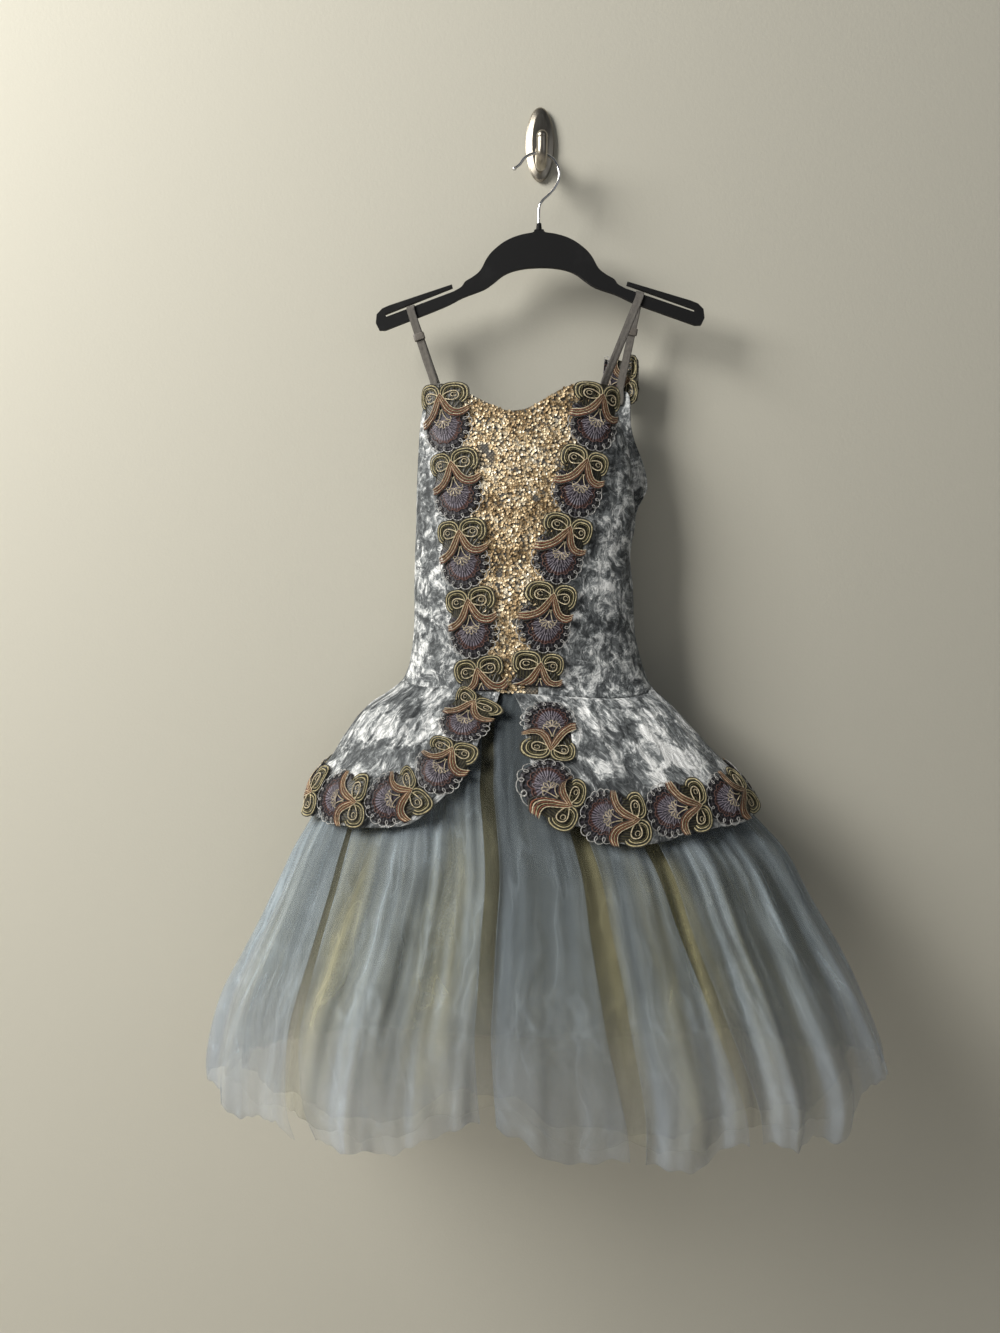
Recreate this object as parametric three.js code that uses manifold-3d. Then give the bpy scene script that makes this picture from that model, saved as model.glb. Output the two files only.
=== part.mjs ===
// A child's ballet costume on a hanger, held by a wall hook. Millimetres, +Z up, +Y into the wall.
// The origin is the centre of the wall hook's back face. Left and right are as seen from the front.

import * as THREE from 'three';
import { mergeVertices } from 'three/addons/utils/BufferGeometryUtils.js';
import Module from 'manifold-3d';

// ---- driving dimensions ----

const clothWall = 1.6;           // velvet and sequinned mesh, as a wall
const tulleWall = 1.2;
const seamGap = 0.3;             // between pieces that are sewn edge to edge
const layerGap = 0.9;            // between the waist and the skirt sewn inside it

const trimHalfWidth = 25;        // applique strip, at its scrolls
const trimWall = 1.4;
const seamTrimLift = 1;          // inside of the strip above the cloth under it
const peplumTrimLift = 1.5;
const seamTrimPitch = 79;        // length of one motif on the bodice
const seamTrimMotifs = 4.44;     // the last one is cut off at the waist
const seamTrimDrop = 9;          // the first scrolls start this far down the seam's table
const peplumMotifs = 9;          // motifs on each half of the peplum

const strapWidth = 9;
const strapWall = 1.2;
const strapTuck = 1.9;           // between a sewn-in strap end and the cloth outside it

const hangerThickness = 6;
const hangerPlane = -45;         // how far it hangs in front of the wall
const hangerCentre = -2;
const hangerTilt = THREE.MathUtils.degToRad(0.9);
const wireRadius = 1.6;

const plateHalfWidth = 17;       // wall hook
const plateHalfHeight = 42;
const fingerRadius = 6.2;

const waistSeamDrop = 5;         // the skirt's top edge lies this far up inside the bodice
const peplumPuff = 7;            // how far the peplum springs off the skirt under the waist
const seamHeight = -640;         // the waist seam and the hem, on the whole
const hemHeight = -1085;
const frontRoundness = 2.3;      // exponent of the rounded sections: 2 is an ellipse
const backRoundness = 2.8;

// ---- tables: a row for each section, edge point or fold ----

// Outside of bodice and peplum: reach to each side, the line where the sides turn back, front and back.
const bodyRows = [
  { z: -280, left: -139, right: 90, side: -40, front: -70, back: -12 },
  { z: -330, left: -143.5, right: 96, side: -42, front: -77, back: -10 },
  { z: -362, left: -144, right: 104, side: -43, front: -81, back: -10 },
  { z: -407, left: -145, right: 109, side: -45, front: -86, back: -9 },
  { z: -445, left: -146, right: 111.5, side: -46, front: -89, back: -9 },
  { z: -483, left: -147.5, right: 106, side: -46, front: -92, back: -9 },
  { z: -521, left: -148.5, right: 109.5, side: -47, front: -96, back: -9 },
  { z: -572, left: -149.5, right: 112, side: -48, front: -99, back: -9 },
  { z: -607, left: -154, right: 120, side: -49, front: -100, back: -9 },
  { z: -621, left: -158.5, right: 124.5, side: -50, front: -101, back: -9 },
  { z: -632, left: -165, right: 129, side: -51, front: -103, back: -9 },
  { z: -643, left: -179, right: 138, side: -55, front: -109, back: -9 },
  { z: -655, left: -198, right: 151, side: -62, front: -118, back: -9 },
  { z: -668, left: -211, right: 163, side: -69, front: -128, back: -9 },
  { z: -690, left: -226, right: 181, side: -78, front: -143, back: -9 },
  { z: -714, left: -240, right: 201, side: -86, front: -159, back: -9 },
  { z: -738, left: -257, right: 224, side: -92, front: -173, back: -9 },
  { z: -775, left: -267, right: 247, side: -97, front: -184, back: -9 },
  { z: -800, left: -273, right: 256, side: -101, front: -193, back: -9 },
];

// Outside of the skirt below the peplum.
const skirtRows = [
  { z: -824, left: -283, right: 280, side: -108, front: -204, back: -17 },
  { z: -876, left: -306, right: 306, side: -116, front: -226, back: -18 },
  { z: -932, left: -333, right: 337, side: -124, front: -247, back: -18 },
  { z: -970, left: -352, right: 356, side: -130, front: -262, back: -18 },
  { z: -1012, left: -364, right: 374, side: -136, front: -277, back: -18 },
  { z: -1050, left: -369, right: 383, side: -140, front: -288, back: -18 },
  { z: -1100, left: -362, right: 374, side: -142, front: -296, back: -18 },
];

// Upper edge of the bodice, by angle: 0 left side, 90 front, 180 right side, 270 back.
const neckRows = [
  { angle: 0, z: -430 }, { angle: 3, z: -405 }, { angle: 9, z: -365 }, { angle: 17, z: -325 },
  { angle: 25, z: -302 }, { angle: 32, z: -291 }, { angle: 42, z: -288 }, { angle: 57, z: -296 },
  { angle: 67, z: -304 }, { angle: 76, z: -313 }, { angle: 84, z: -320 }, { angle: 91, z: -319 },
  { angle: 97, z: -312 }, { angle: 103, z: -305 }, { angle: 110, z: -296 }, { angle: 120, z: -289 },
  { angle: 134, z: -286.5 }, { angle: 146, z: -291 }, { angle: 157, z: -305 }, { angle: 164, z: -328 },
  { angle: 172, z: -368 }, { angle: 177, z: -405 }, { angle: 180, z: -430 }, { angle: 187, z: -392 },
  { angle: 194, z: -345 }, { angle: 201, z: -303 }, { angle: 207, z: -291 }, { angle: 216, z: -291 },
  { angle: 226, z: -312 }, { angle: 243, z: -365 }, { angle: 270, z: -395 }, { angle: 297, z: -365 },
  { angle: 314, z: -312 }, { angle: 324, z: -291 }, { angle: 333, z: -291 }, { angle: 339, z: -303 },
  { angle: 346, z: -345 }, { angle: 353, z: -392 }, { angle: 360, z: -430 },
];

// The back hangs a little to the right of the front above the armholes, most of all at its right side.
const backShiftRows = [
  { z: -441, x: 0 }, { z: -430, x: 3 }, { z: -402, x: 19 }, { z: -345, x: 14 }, { z: -290, x: 23 },
];
const backShiftShare = { middle: 0.62, swing: 0.38 };

const waistRows = [
  { angle: 0, z: -630 }, { angle: 40, z: -634 }, { angle: 80, z: -638 }, { angle: 95, z: -641 },
  { angle: 125, z: -646 }, { angle: 150, z: -643 }, { angle: 180, z: -634 }, { angle: 270, z: -636 },
  { angle: 360, z: -630 },
];

// The seams beside the centre front panel.
const leftSeamRows = [
  { z: -280, x: -116 }, { z: -306, x: -115 }, { z: -375, x: -103 }, { z: -452, x: -93.5 },
  { z: -529, x: -84 }, { z: -603, x: -75 }, { z: -650, x: -69 },
];
const rightSeamRows = [
  { z: -280, x: 71.5 }, { z: -306, x: 68.5 }, { z: -380, x: 50 }, { z: -454, x: 31.5 },
  { z: -530, x: 13 }, { z: -607, x: -1 }, { z: -650, x: -5 },
];

// Front edge of each peplum half, then its hem by angle from that half's own side (90 is the front).
const peplumSides = {
  left: {
    opening: [
      { z: -630, x: -44 }, { z: -668, x: -59 }, { z: -689, x: -69 }, { z: -714, x: -79 },
      { z: -735, x: -95 }, { z: -754, x: -119 },
    ],
    hem: [
      { angle: 68, z: -754 }, { angle: 63, z: -770 }, { angle: 57, z: -777 }, { angle: 41, z: -778 },
      { angle: 0, z: -773 }, { angle: -40, z: -777 }, { angle: -90, z: -780 },
    ],
    trim: [
      { angle: 75, z: -643 }, { angle: 73, z: -672 }, { angle: 71, z: -700 }, { angle: 67, z: -722 },
      { angle: 61, z: -740 }, { angle: 53, z: -750 }, { angle: 40, z: -752 }, { angle: 0, z: -748 },
      { angle: -40, z: -751 }, { angle: -89, z: -754 },
    ],
  },
  right: {
    opening: [
      { z: -630, x: -37 }, { z: -662, x: -23 }, { z: -699, x: -17 }, { z: -730, x: -9 },
      { z: -758, x: -2 },
    ],
    hem: [
      { angle: 89, z: -758 }, { angle: 86, z: -768 }, { angle: 82, z: -774 }, { angle: 77, z: -787 },
      { angle: 69, z: -791 }, { angle: 62, z: -790 }, { angle: 54, z: -782 }, { angle: 36, z: -779 },
      { angle: 0, z: -771 }, { angle: -40, z: -777 }, { angle: -90, z: -780 },
    ],
    trim: [
      { angle: 82, z: -650 }, { angle: 82.5, z: -680 }, { angle: 85, z: -710 }, { angle: 86, z: -735 },
      { angle: 82.5, z: -752 }, { angle: 76, z: -763 }, { angle: 67, z: -766 }, { angle: 55, z: -758 },
      { angle: 36, z: -754 }, { angle: 0, z: -747 }, { angle: -40, z: -751 }, { angle: -89, z: -754 },
    ],
  },
};

// Soft ridges of the peplum, at full depth by its hem.
const peplumFolds = [
  { angle: 66, spread: 7, depth: 3 }, { angle: 42, spread: 11, depth: 7 },
  { angle: 12, spread: 9, depth: 6 }, { angle: -16, spread: 9, depth: 5 },
  { angle: -44, spread: 10, depth: 4 }, { angle: -70, spread: 9, depth: 3 },
  { angle: 97, spread: 5, depth: 4 }, { angle: 110, spread: 6, depth: 9 },
  { angle: 128, spread: 9, depth: 7 }, { angle: 150, spread: 9, depth: 5 },
  { angle: 176, spread: 9, depth: 6 }, { angle: 203, spread: 10, depth: 4 },
  { angle: 232, spread: 10, depth: 3 }, { angle: 257, spread: 8, depth: 3 },
];

// One motif of the applique, from its scrolls (0) to the foot of its shell (1): half width as a share of
// trimHalfWidth, and how high its middle and its shoulders are raised.
const motifRows = [
  { at: 0, width: 0.55, middle: 0.4, shoulder: 0.7 },
  { at: 0.12, width: 0.93, middle: 0.4, shoulder: 1.7 },
  { at: 0.27, width: 0.99, middle: 0.9, shoulder: 1.6 },
  { at: 0.39, width: 0.9, middle: 2.2, shoulder: 1.1 },
  { at: 0.49, width: 1.14, middle: 1.1, shoulder: 2.1 },
  { at: 0.61, width: 0.95, middle: 1.4, shoulder: 1 },
  { at: 0.85, width: 0.8, middle: 1.3, shoulder: 0.8 },
];

// Strips of the top layer of tulle: first and last angle at the waist and at the hem.
const overlayStrips = [
  { name: 'overlay_side_left', top: [-24, 36], hem: [-24, 49], columns: 17 },
  { name: 'overlay_front_left', top: [38, 79], hem: [53, 81.5], columns: 13 },
  { name: 'overlay_centre', top: [82.5, 95], hem: [83.5, 99], columns: 8 },
  { name: 'overlay_front_right', top: [99, 110], hem: [101.5, 118], columns: 8 },
  { name: 'overlay_side_right', top: [114, 206], hem: [121.5, 206], columns: 22 },
  { name: 'overlay_back', top: [207, 335], hem: [207, 335], columns: 28 },
];

// Rows of the skirt's layers, as shares of the drop from waist to hem.
const dropShares = [0, 0.02, 0.055, 0.12, 0.24, 0.45, 0.72, 1];

// Hem of the skirt's top layer, by angle.
const hemRows = [
  { angle: -30, z: -1070 }, { angle: 0, z: -1068 }, { angle: 14, z: -1063 }, { angle: 25, z: -1062 },
  { angle: 34, z: -1068 }, { angle: 47, z: -1070 }, { angle: 54, z: -1080 }, { angle: 69, z: -1075 },
  { angle: 75, z: -1053 }, { angle: 86, z: -1052 },
  { angle: 90, z: -1079 }, { angle: 99, z: -1083 }, { angle: 108, z: -1091 }, { angle: 117, z: -1072 },
  { angle: 131, z: -1079 }, { angle: 141, z: -1081 }, { angle: 150, z: -1055 }, { angle: 159, z: -1041 },
  { angle: 170, z: -1044 }, { angle: 180, z: -1050 }, { angle: 210, z: -1074 }, { angle: 240, z: -1070 },
  { angle: 270, z: -1084 }, { angle: 300, z: -1068 }, { angle: 330, z: -1070 },
];

// The three layers of the skirt: how far each lies inside the outermost one at the waist and at the hem,
// its folds, and how far its hem stops short of the top layer's.
const skirtLayers = {
  overlay: { insetTop: 0, insetHem: 0, folds: 26, depth: 9, phase: 0.4, shorter: 0 },
  gold: { insetTop: 2.1, insetHem: 20, folds: 14, depth: 6, phase: 1.9, shorter: 6 },
  under: { insetTop: 4.3, insetHem: 37, folds: 9, depth: 4, phase: 3.1, shorter: 14 },
};

// Half of the hanger's outline, x from its centre, z from the wall hook's centre.
const hangerRows = {
  underside: [
    [0, -154], [15, -154.7], [30, -157.4], [42, -162.3], [53.5, -170.8], [65, -177.9], [89, -186.4],
    [112.5, -197.3], [179, -221.6],
  ],
  end: [[186, -221.5], [189.7, -214], [188.5, -204], [182, -197.5]],
  prong: [[174, -194.2], [101, -171.8], [100.2, -175.2], [178.5, -203.8], [178, -207]],
  shoulder: [
    [99, -179.6], [90, -174.5], [85.7, -168.8], [77, -163.7], [68, -156.5], [60.7, -143.8], [53.4, -135.2],
    [41.6, -126.2], [30, -120.6], [18.2, -117.3], [7, -115.3], [5, -112.4], [0, -112],
  ],
};

// ---- small tools ----

const radians = THREE.MathUtils.degToRad;

// Smooth value of one column at a place along a table.
function along(rows, key, column, place) {
  const rising = rows[rows.length - 1][key] > rows[0][key];
  const value = rising ? place : -place;
  const keyOf = (row) => (rising ? row[key] : -row[key]);
  const last = rows.length - 1;
  if (value <= keyOf(rows[0])) return rows[0][column];
  if (value >= keyOf(rows[last])) return rows[last][column];
  let i = 0;
  while (keyOf(rows[i + 1]) < value) i += 1;
  const slope = (k) => {
    const before = rows[Math.max(k - 1, 0)];
    const after = rows[Math.min(k + 1, last)];
    return (after[column] - before[column]) / (keyOf(after) - keyOf(before));
  };
  const span = keyOf(rows[i + 1]) - keyOf(rows[i]);
  const t = (value - keyOf(rows[i])) / span;
  const h = t * t * (3 - 2 * t);
  return rows[i][column] * (1 - h) + rows[i + 1][column] * h
    + slope(i) * span * t * (1 - t) ** 2 - slope(i + 1) * span * t * t * (1 - t);
}

const power = (value, exponent) => Math.sign(value) * Math.abs(value) ** exponent;
const mix = (a, b, t) => a + (b - a) * t;
const ramp = (from, to, value) => THREE.MathUtils.smoothstep((value - from) / (to - from), 0, 1);
const wrap = (angle) => ((angle % 360) + 360) % 360;

// The sections are wide and shallow: evenTurn grows with the distance round them, turnOf undoes it.
const squash = 0.25;
const evenTurn = (turn) => turn - squash * Math.sin(2 * turn);
function turnOf(even) {
  let turn = even;
  for (let step = 0; step < 12; step += 1) turn = even + squash * Math.sin(2 * turn);
  return turn;
}
const mixAngles = (from, to, share) => (
  THREE.MathUtils.radToDeg(turnOf(mix(evenTurn(radians(from)), evenTurn(radians(to)), share)))
);

// A closed wall between an outer and an inner grid. With innerEvery 2 the inner grid has half the columns.
function wall({ across, rows, outer, inner, closed = false, innerEvery = 1 }) {
  const outerColumns = closed ? across : across + 1;
  const innerColumns = closed ? across : across / innerEvery + 1;
  const positions = [];
  const index = [];
  for (let j = 0; j <= rows; j += 1) {
    for (let i = 0; i < outerColumns; i += 1) positions.push(...outer(i / across, j / rows).toArray());
  }
  const start = positions.length / 3;
  for (let j = 0; j <= rows; j += 1) {
    for (let i = 0; i < innerColumns; i += 1) {
      positions.push(...inner((i * innerEvery) / across, j / rows).toArray());
    }
  }
  const o = (i, j) => j * outerColumns + (i % outerColumns);
  const n = (i, j) => start + j * innerColumns + (i % innerColumns);
  const quad = (a, b, c, d) => index.push(a, b, c, a, c, d);
  for (let j = 0; j < rows; j += 1) {
    for (let i = 0; i < across; i += 1) quad(o(i, j), o(i + 1, j), o(i + 1, j + 1), o(i, j + 1));
    for (let i = 0; i < across / innerEvery; i += 1) {
      quad(n(i, j), n(i, j + 1), n(i + 1, j + 1), n(i + 1, j));
    }
    if (!closed) {
      const k = across / innerEvery;
      quad(o(0, j), o(0, j + 1), n(0, j + 1), n(0, j));
      quad(o(across, j + 1), o(across, j), n(k, j), n(k, j + 1));
    }
  }
  for (let i = 0; i < across / innerEvery; i += 1) {
    if (innerEvery === 1) {
      quad(o(i + 1, 0), o(i, 0), n(i, 0), n(i + 1, 0));
      quad(o(i, rows), o(i + 1, rows), n(i + 1, rows), n(i, rows));
    } else {
      const [a, b, c] = [o(2 * i, 0), o(2 * i + 1, 0), o(2 * i + 2, 0)];
      index.push(b, a, n(i, 0), b, n(i, 0), n(i + 1, 0), c, b, n(i + 1, 0));
      const [d, e, f] = [o(2 * i, rows), o(2 * i + 1, rows), o(2 * i + 2, rows)];
      index.push(d, e, n(i, rows), e, n(i + 1, rows), n(i, rows), e, f, n(i + 1, rows));
    }
  }
  return facingOut(positions, index);
}

// A geometry whose triangles are turned so that it encloses a positive volume.
function facingOut(positions, index) {
  const corner = (k) => new THREE.Vector3().fromArray(positions, 3 * index[k]);
  let volume = 0;
  for (let k = 0; k < index.length; k += 3) {
    volume += corner(k).dot(corner(k + 1).cross(corner(k + 2)));
  }
  if (volume < 0) index.reverse();
  const geometry = new THREE.BufferGeometry();
  geometry.setAttribute('position', new THREE.Float32BufferAttribute(positions, 3));
  geometry.setIndex(index);
  geometry.computeVertexNormals();
  return geometry;
}

// ---- hollow forms: a point at an angle and a height, lifted off the outer face ----

function hollowForm(rows, fold, shift = () => 0) {
  const section = (angle, z) => {
    const [left, right] = [along(rows, 'z', 'left', z), along(rows, 'z', 'right', z)];
    const side = along(rows, 'z', 'side', z);
    const cosine = Math.cos(radians(angle));
    const sine = Math.sin(radians(angle));
    const exponent = 2 / (sine > 0 ? frontRoundness : backRoundness);
    const depth = sine > 0 ? side - along(rows, 'z', 'front', z) : along(rows, 'z', 'back', z) - side;
    return new THREE.Vector3(
      (left + right) / 2 + shift(angle, z) - ((right - left) / 2) * power(cosine, exponent),
      side - depth * power(sine, exponent),
      z,
    );
  };
  const step = 0.5;
  // Folds move a point square to its section.
  const folded = (angle, z) => {
    const run = section(angle + step, z).sub(section(angle - step, z)).normalize();
    return section(angle, z).add(new THREE.Vector3(run.y, -run.x, 0).multiplyScalar(fold(angle, z)));
  };
  const point = (angle, z, lift = 0) => {
    const place = folded(angle, z);
    if (lift === 0) return place;
    const byAngle = folded(angle + step, z).sub(folded(angle - step, z));
    const byHeight = folded(angle, z + step).sub(folded(angle, z - step));
    return place.addScaledVector(byAngle.cross(byHeight).normalize(), lift);
  };
  // The angle at which the front has a given x.
  const angleAt = (x, z) => {
    const [left, right] = [along(rows, 'z', 'left', z), along(rows, 'z', 'right', z)];
    const share = ((left + right) / 2 - x) / ((right - left) / 2);
    return THREE.MathUtils.radToDeg(Math.acos(power(share, frontRoundness / 2)));
  };
  return { point, section, angleAt };
}

const ridge = (angle, row) => {
  const apart = ((angle - row.angle + 540) % 360) - 180;
  return row.depth * Math.exp(-((apart / row.spread) ** 2));
};

const neck = (angle) => along(neckRows, 'angle', 'z', wrap(angle));
const waist = (angle) => along(waistRows, 'angle', 'z', wrap(angle));

const peplumFold = (angle, z) => {
  const depth = peplumFolds.reduce((sum, row) => sum + ridge(angle, row), 0);
  return depth * ramp(-650, -760, z);
};

const body = hollowForm(bodyRows, peplumFold);

function backShift(angle, z) {
  const share = backShiftShare.middle - backShiftShare.swing * Math.cos(THREE.MathUtils.degToRad(angle));
  return share * along(backShiftRows, 'z', 'x', z);
}

const back = hollowForm(bodyRows, () => 0, backShift);

// The skirt starts just inside bodice and peplum and then takes its own line.
const wholeSkirtRows = [...bodyRows.filter(({ z }) => z < -600 && z > -790), ...skirtRows];

function skirtForm({ insetTop, insetHem, folds, depth, phase }) {
  return hollowForm(wholeSkirtRows, (angle, z) => {
    const t = THREE.MathUtils.clamp((z - seamHeight) / (hemHeight - seamHeight), 0, 1);
    const turn = radians(angle);
    const uneven = 1.1 * Math.sin(3 * turn + phase) + 0.7 * Math.sin(7 * turn + 2 * phase);
    const height = 0.75 + 0.25 * Math.sin(5 * turn + 3 * phase);
    const gather = depth * height * Math.sin(folds * evenTurn(turn) + uneven + phase);
    const under = waist(angle);
    const lining = clothWall + layerGap + peplumPuff * ramp(under + waistSeamDrop, under - 20, z);
    const inset = mix(insetTop, insetHem, t) + lining * (1 - ramp(-770, -824, z));
    return gather * (0.25 * t + 0.75 * ramp(seamHeight, hemHeight, z)) - inset;
  });
}

// ---- bodice ----

// A bodice panel between two edges, each an angle at a height. Its top follows the neckline.
function bodicePanel(form, firstEdge, lastEdge, columns, rows) {
  const neckOf = (angle) => (angle === 360 ? neckRows[0].z : neck(angle));
  const place = (u, v) => {
    let z = -460;
    let angle = 0;
    // The edges lean, so the angle and the height of a grid point settle in a few steps.
    for (let step = 0; step < 6; step += 1) {
      angle = mix(firstEdge(z), lastEdge(z), u);
      z = mix(neckOf(angle), waist(angle), 1 - (1 - v) ** 1.4);
    }
    return { angle, z };
  };
  const point = (u, v, lift) => {
    const { angle, z } = place(u, v);
    return form.point(angle, z, lift);
  };
  return wall({
    across: columns,
    rows,
    outer: (u, v) => point(u, v, 0),
    inner: (u, v) => point(u, v, -clothWall),
  });
}

// An edge that follows a seam, moved aside by a share of the seam gap.
const seamEdge = (rows, direction) => (z) => {
  const x = along(rows, 'z', 'x', z) + (direction * seamGap) / 2;
  return body.angleAt(x, z);
};
const seamTurn = 0.12;           // seam gap at the sides, as an angle

// ---- applique ----

// A path over a form, given by angle and height, measured off in millimetres along the cloth.
function pathOver(form, rows, steps = 160) {
  const spots = [];
  let distance = 0;
  let before = null;
  for (let k = 0; k <= steps; k += 1) {
    const order = rows.map((row, i) => ({ ...row, i }));
    const i = (k / steps) * (rows.length - 1);
    const angle = along(order, 'i', 'angle', i);
    const z = along(order, 'i', 'z', i);
    const here = form.section(angle, z);
    distance += before ? here.distanceTo(before) : 0;
    before = here;
    spots.push({ distance, angle, z });
  }
  const spot = (at) => ({
    angle: along(spots, 'distance', 'angle', at),
    z: along(spots, 'distance', 'z', at),
  });
  return { length: distance, spot };
}

// The angle and height of a point beside a path, a distance along it and a distance across.
function besidePath(form, path, distance, sideways) {
  const here = path.spot(distance);
  const reach = Math.min(Math.max(distance, 2), path.length - 2);
  const from = path.spot(reach - 2);
  const to = path.spot(reach + 2);
  const turn = 0.5;
  const point = form.section(here.angle, here.z);
  const byAngle = form.section(here.angle + turn, here.z).sub(point).divideScalar(turn);
  const byHeight = form.section(here.angle, here.z - turn).sub(point).divideScalar(-turn);
  const direction = form.section(to.angle, to.z).sub(form.section(from.angle, from.z));
  const normal = byAngle.clone().cross(byHeight);
  const side = normal.cross(direction).normalize();
  const [e, f, g] = [byAngle.dot(byAngle), byAngle.dot(byHeight), byHeight.dot(byHeight)];
  const [p, q] = [byAngle.dot(side), byHeight.dot(side)];
  const bottom = e * g - f * f;
  return {
    angle: here.angle + (sideways * (p * g - q * f)) / bottom,
    z: here.z + (sideways * (q * e - p * f)) / bottom,
  };
}

// A strip of motifs that lies on a form: plain inside, raised scrolls, arches and shells outside.
function appliqueStrip(form, path, { motifs, pitch, lift, from = 0, reversed = false, innerEvery = 1 }) {
  const places = [];
  for (let k = 0; k < Math.ceil(motifs); k += 1) {
    motifRows.forEach((row) => {
      if (k + row.at < motifs) places.push({ ...row, distance: (k + row.at) * pitch });
    });
  }
  places.push({ ...motifRows[0], distance: motifs * pitch });
  const total = motifs * pitch;
  const spot = (u, v, height) => {
    const row = places[Math.round(v * (places.length - 1))];
    const distance = from + (reversed ? total - row.distance : row.distance);
    const sideways = (2 * u - 1) * trimHalfWidth * row.width;
    const { angle, z } = besidePath(form, path, distance, sideways);
    return form.point(angle, z, lift + height);
  };
  const raised = (u, v) => {
    const row = places[Math.round(v * (places.length - 1))];
    const off = Math.abs(2 * u - 1);
    const shoulder = Math.max(0, 1 - Math.abs(off - 0.6) / 0.4) * row.shoulder;
    return trimWall + Math.max(shoulder, Math.max(0, 1 - off / 0.4) * row.middle);
  };
  return wall({
    across: 6,
    rows: places.length - 1,
    outer: (u, v) => spot(u, v, raised(u, v)),
    inner: (u, v) => spot(u, v, 0),
    innerEvery,
  });
}

function seamTrim(rows) {
  const path = pathOver(body, rows.map(({ x, z }) => ({ angle: body.angleAt(x, z), z })));
  return appliqueStrip(body, path, {
    motifs: seamTrimMotifs,
    pitch: seamTrimPitch,
    lift: seamTrimLift,
    from: seamTrimDrop,
  });
}

// ---- peplum ----

// Angles of the right half are turned round the front, so that both halves share one recipe.
function peplumAngles(sideName) {
  const isLeft = sideName === 'left';
  const turned = (angle) => (isLeft ? angle : 180 - angle);
  return { isLeft, turned };
}

function peplumHalf(sideName) {
  const { opening, hem } = peplumSides[sideName];
  const { isLeft, turned } = peplumAngles(sideName);
  const backEdge = -90 + seamTurn;
  const corner = opening[opening.length - 1].z;
  const place = (u, v) => {
    const spread = u ** 1.35;                 // closer columns at the rounded front corner
    const edgeZ = mix(opening[0].z - 8, corner, v);
    const x = along(opening, 'z', 'x', edgeZ);
    const edge = isLeft ? body.angleAt(x, edgeZ) : 180 - body.angleAt(x, edgeZ);
    const angle = mix(edge, backEdge, spread);
    const top = waist(turned(angle)) - seamGap;
    const bottomAngle = mix(hem[0].angle, backEdge, spread);
    const bottom = along(hem, 'angle', 'z', bottomAngle);
    const fall = v ** 1.25;                   // closer rows under the waist, where it springs out
    return { angle: turned(angle), z: mix(top, bottom, fall) };
  };
  const point = (u, v, lift) => {
    const { angle, z } = place(u, v);
    return body.point(angle, z, lift);
  };
  return wall({
    across: 34,
    rows: 6,
    outer: (u, v) => point(u, v, 0),
    inner: (u, v) => point(u, v, -clothWall),
  });
}

function peplumTrim(sideName) {
  const { isLeft, turned } = peplumAngles(sideName);
  const rows = peplumSides[sideName].trim.map(({ angle, z }) => ({ angle: turned(angle), z }));
  const path = pathOver(body, rows);
  const pitch = path.length / peplumMotifs;
  return appliqueStrip(body, path, {
    motifs: peplumMotifs,
    pitch,
    lift: peplumTrimLift,
    reversed: !isLeft,
    innerEvery: 2,
  });
}

// ---- skirt ----

const hemOf = (angle) => {
  const turned = wrap(angle + 30) - 30;
  return along(hemRows, 'angle', 'z', turned);
};

const dropShare = (v) => dropShares[Math.round(v * (dropShares.length - 1))];

function overlayStrip({ top, hem, columns }) {
  const form = skirtForm(skirtLayers.overlay);
  const point = (u, v, lift) => {
    const share = dropShare(v);
    const angle = mixAngles(mix(top[0], hem[0], share), mix(top[1], hem[1], share), u);
    const bottom = hemOf(mixAngles(hem[0], hem[1], u));
    return form.point(angle, mix(waist(angle) + waistSeamDrop, bottom, share), lift);
  };
  return wall({
    across: columns,
    rows: dropShares.length - 1,
    outer: (u, v) => point(u, v, 0),
    inner: (u, v) => point(u, v, -tulleWall),
  });
}

function skirtTube(layer, columns) {
  const form = skirtForm(layer);
  const point = (u, v, lift) => {
    const angle = mixAngles(0, 360, u);
    const z = mix(waist(angle) + waistSeamDrop, hemOf(angle) + layer.shorter, dropShare(v));
    return form.point(angle, z, lift);
  };
  return wall({
    across: columns,
    rows: dropShares.length - 1,
    closed: true,
    outer: (u, v) => point(u, v, 0),
    inner: (u, v) => point(u, v, -tulleWall),
  });
}

// ---- straps ----

// A flat ribbon through a few points, each with the direction of its width.
function ribbon(route, width, thickness) {
  const last = route.length - 1;
  const corner = (i, across, through) => {
    const { point, lean } = route[i];
    const before = route[Math.max(i - 1, 0)].point;
    const after = route[Math.min(i + 1, last)].point;
    const tangent = after.clone().sub(before).normalize();
    const side = lean.clone().addScaledVector(tangent, -lean.dot(tangent)).normalize();
    const normal = side.clone().cross(tangent);
    return point.clone().addScaledVector(side, across * width).addScaledVector(normal, through * thickness);
  };
  return wall({
    across: 2,
    rows: last,
    outer: (u, v) => corner(Math.round(v * last), u - 0.5, 0.5),
    inner: (u, v) => corner(Math.round(v * last), u - 0.5, -0.5),
  });
}

const archHeight = -154;         // underside of the hanger's middle
const slotStart = { x: 99, z: -179.6 };
const barSlope = 19.2;
const footDrop = 3;              // a strap leaves the bar this far under its top
const sewnRises = [-12, -3, 5];  // heights of a sewn-in strap end about the edge it passes

// A place on the tilted hanger, by its own x and z.
function hangerPoint(x, z, y = hangerPlane) {
  const point = new THREE.Vector3(x, 0, z - archHeight);
  point.applyAxisAngle(new THREE.Vector3(0, 1, 0), -hangerTilt);
  return new THREE.Vector3(point.x + hangerCentre, y, point.z + archHeight);
}

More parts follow.
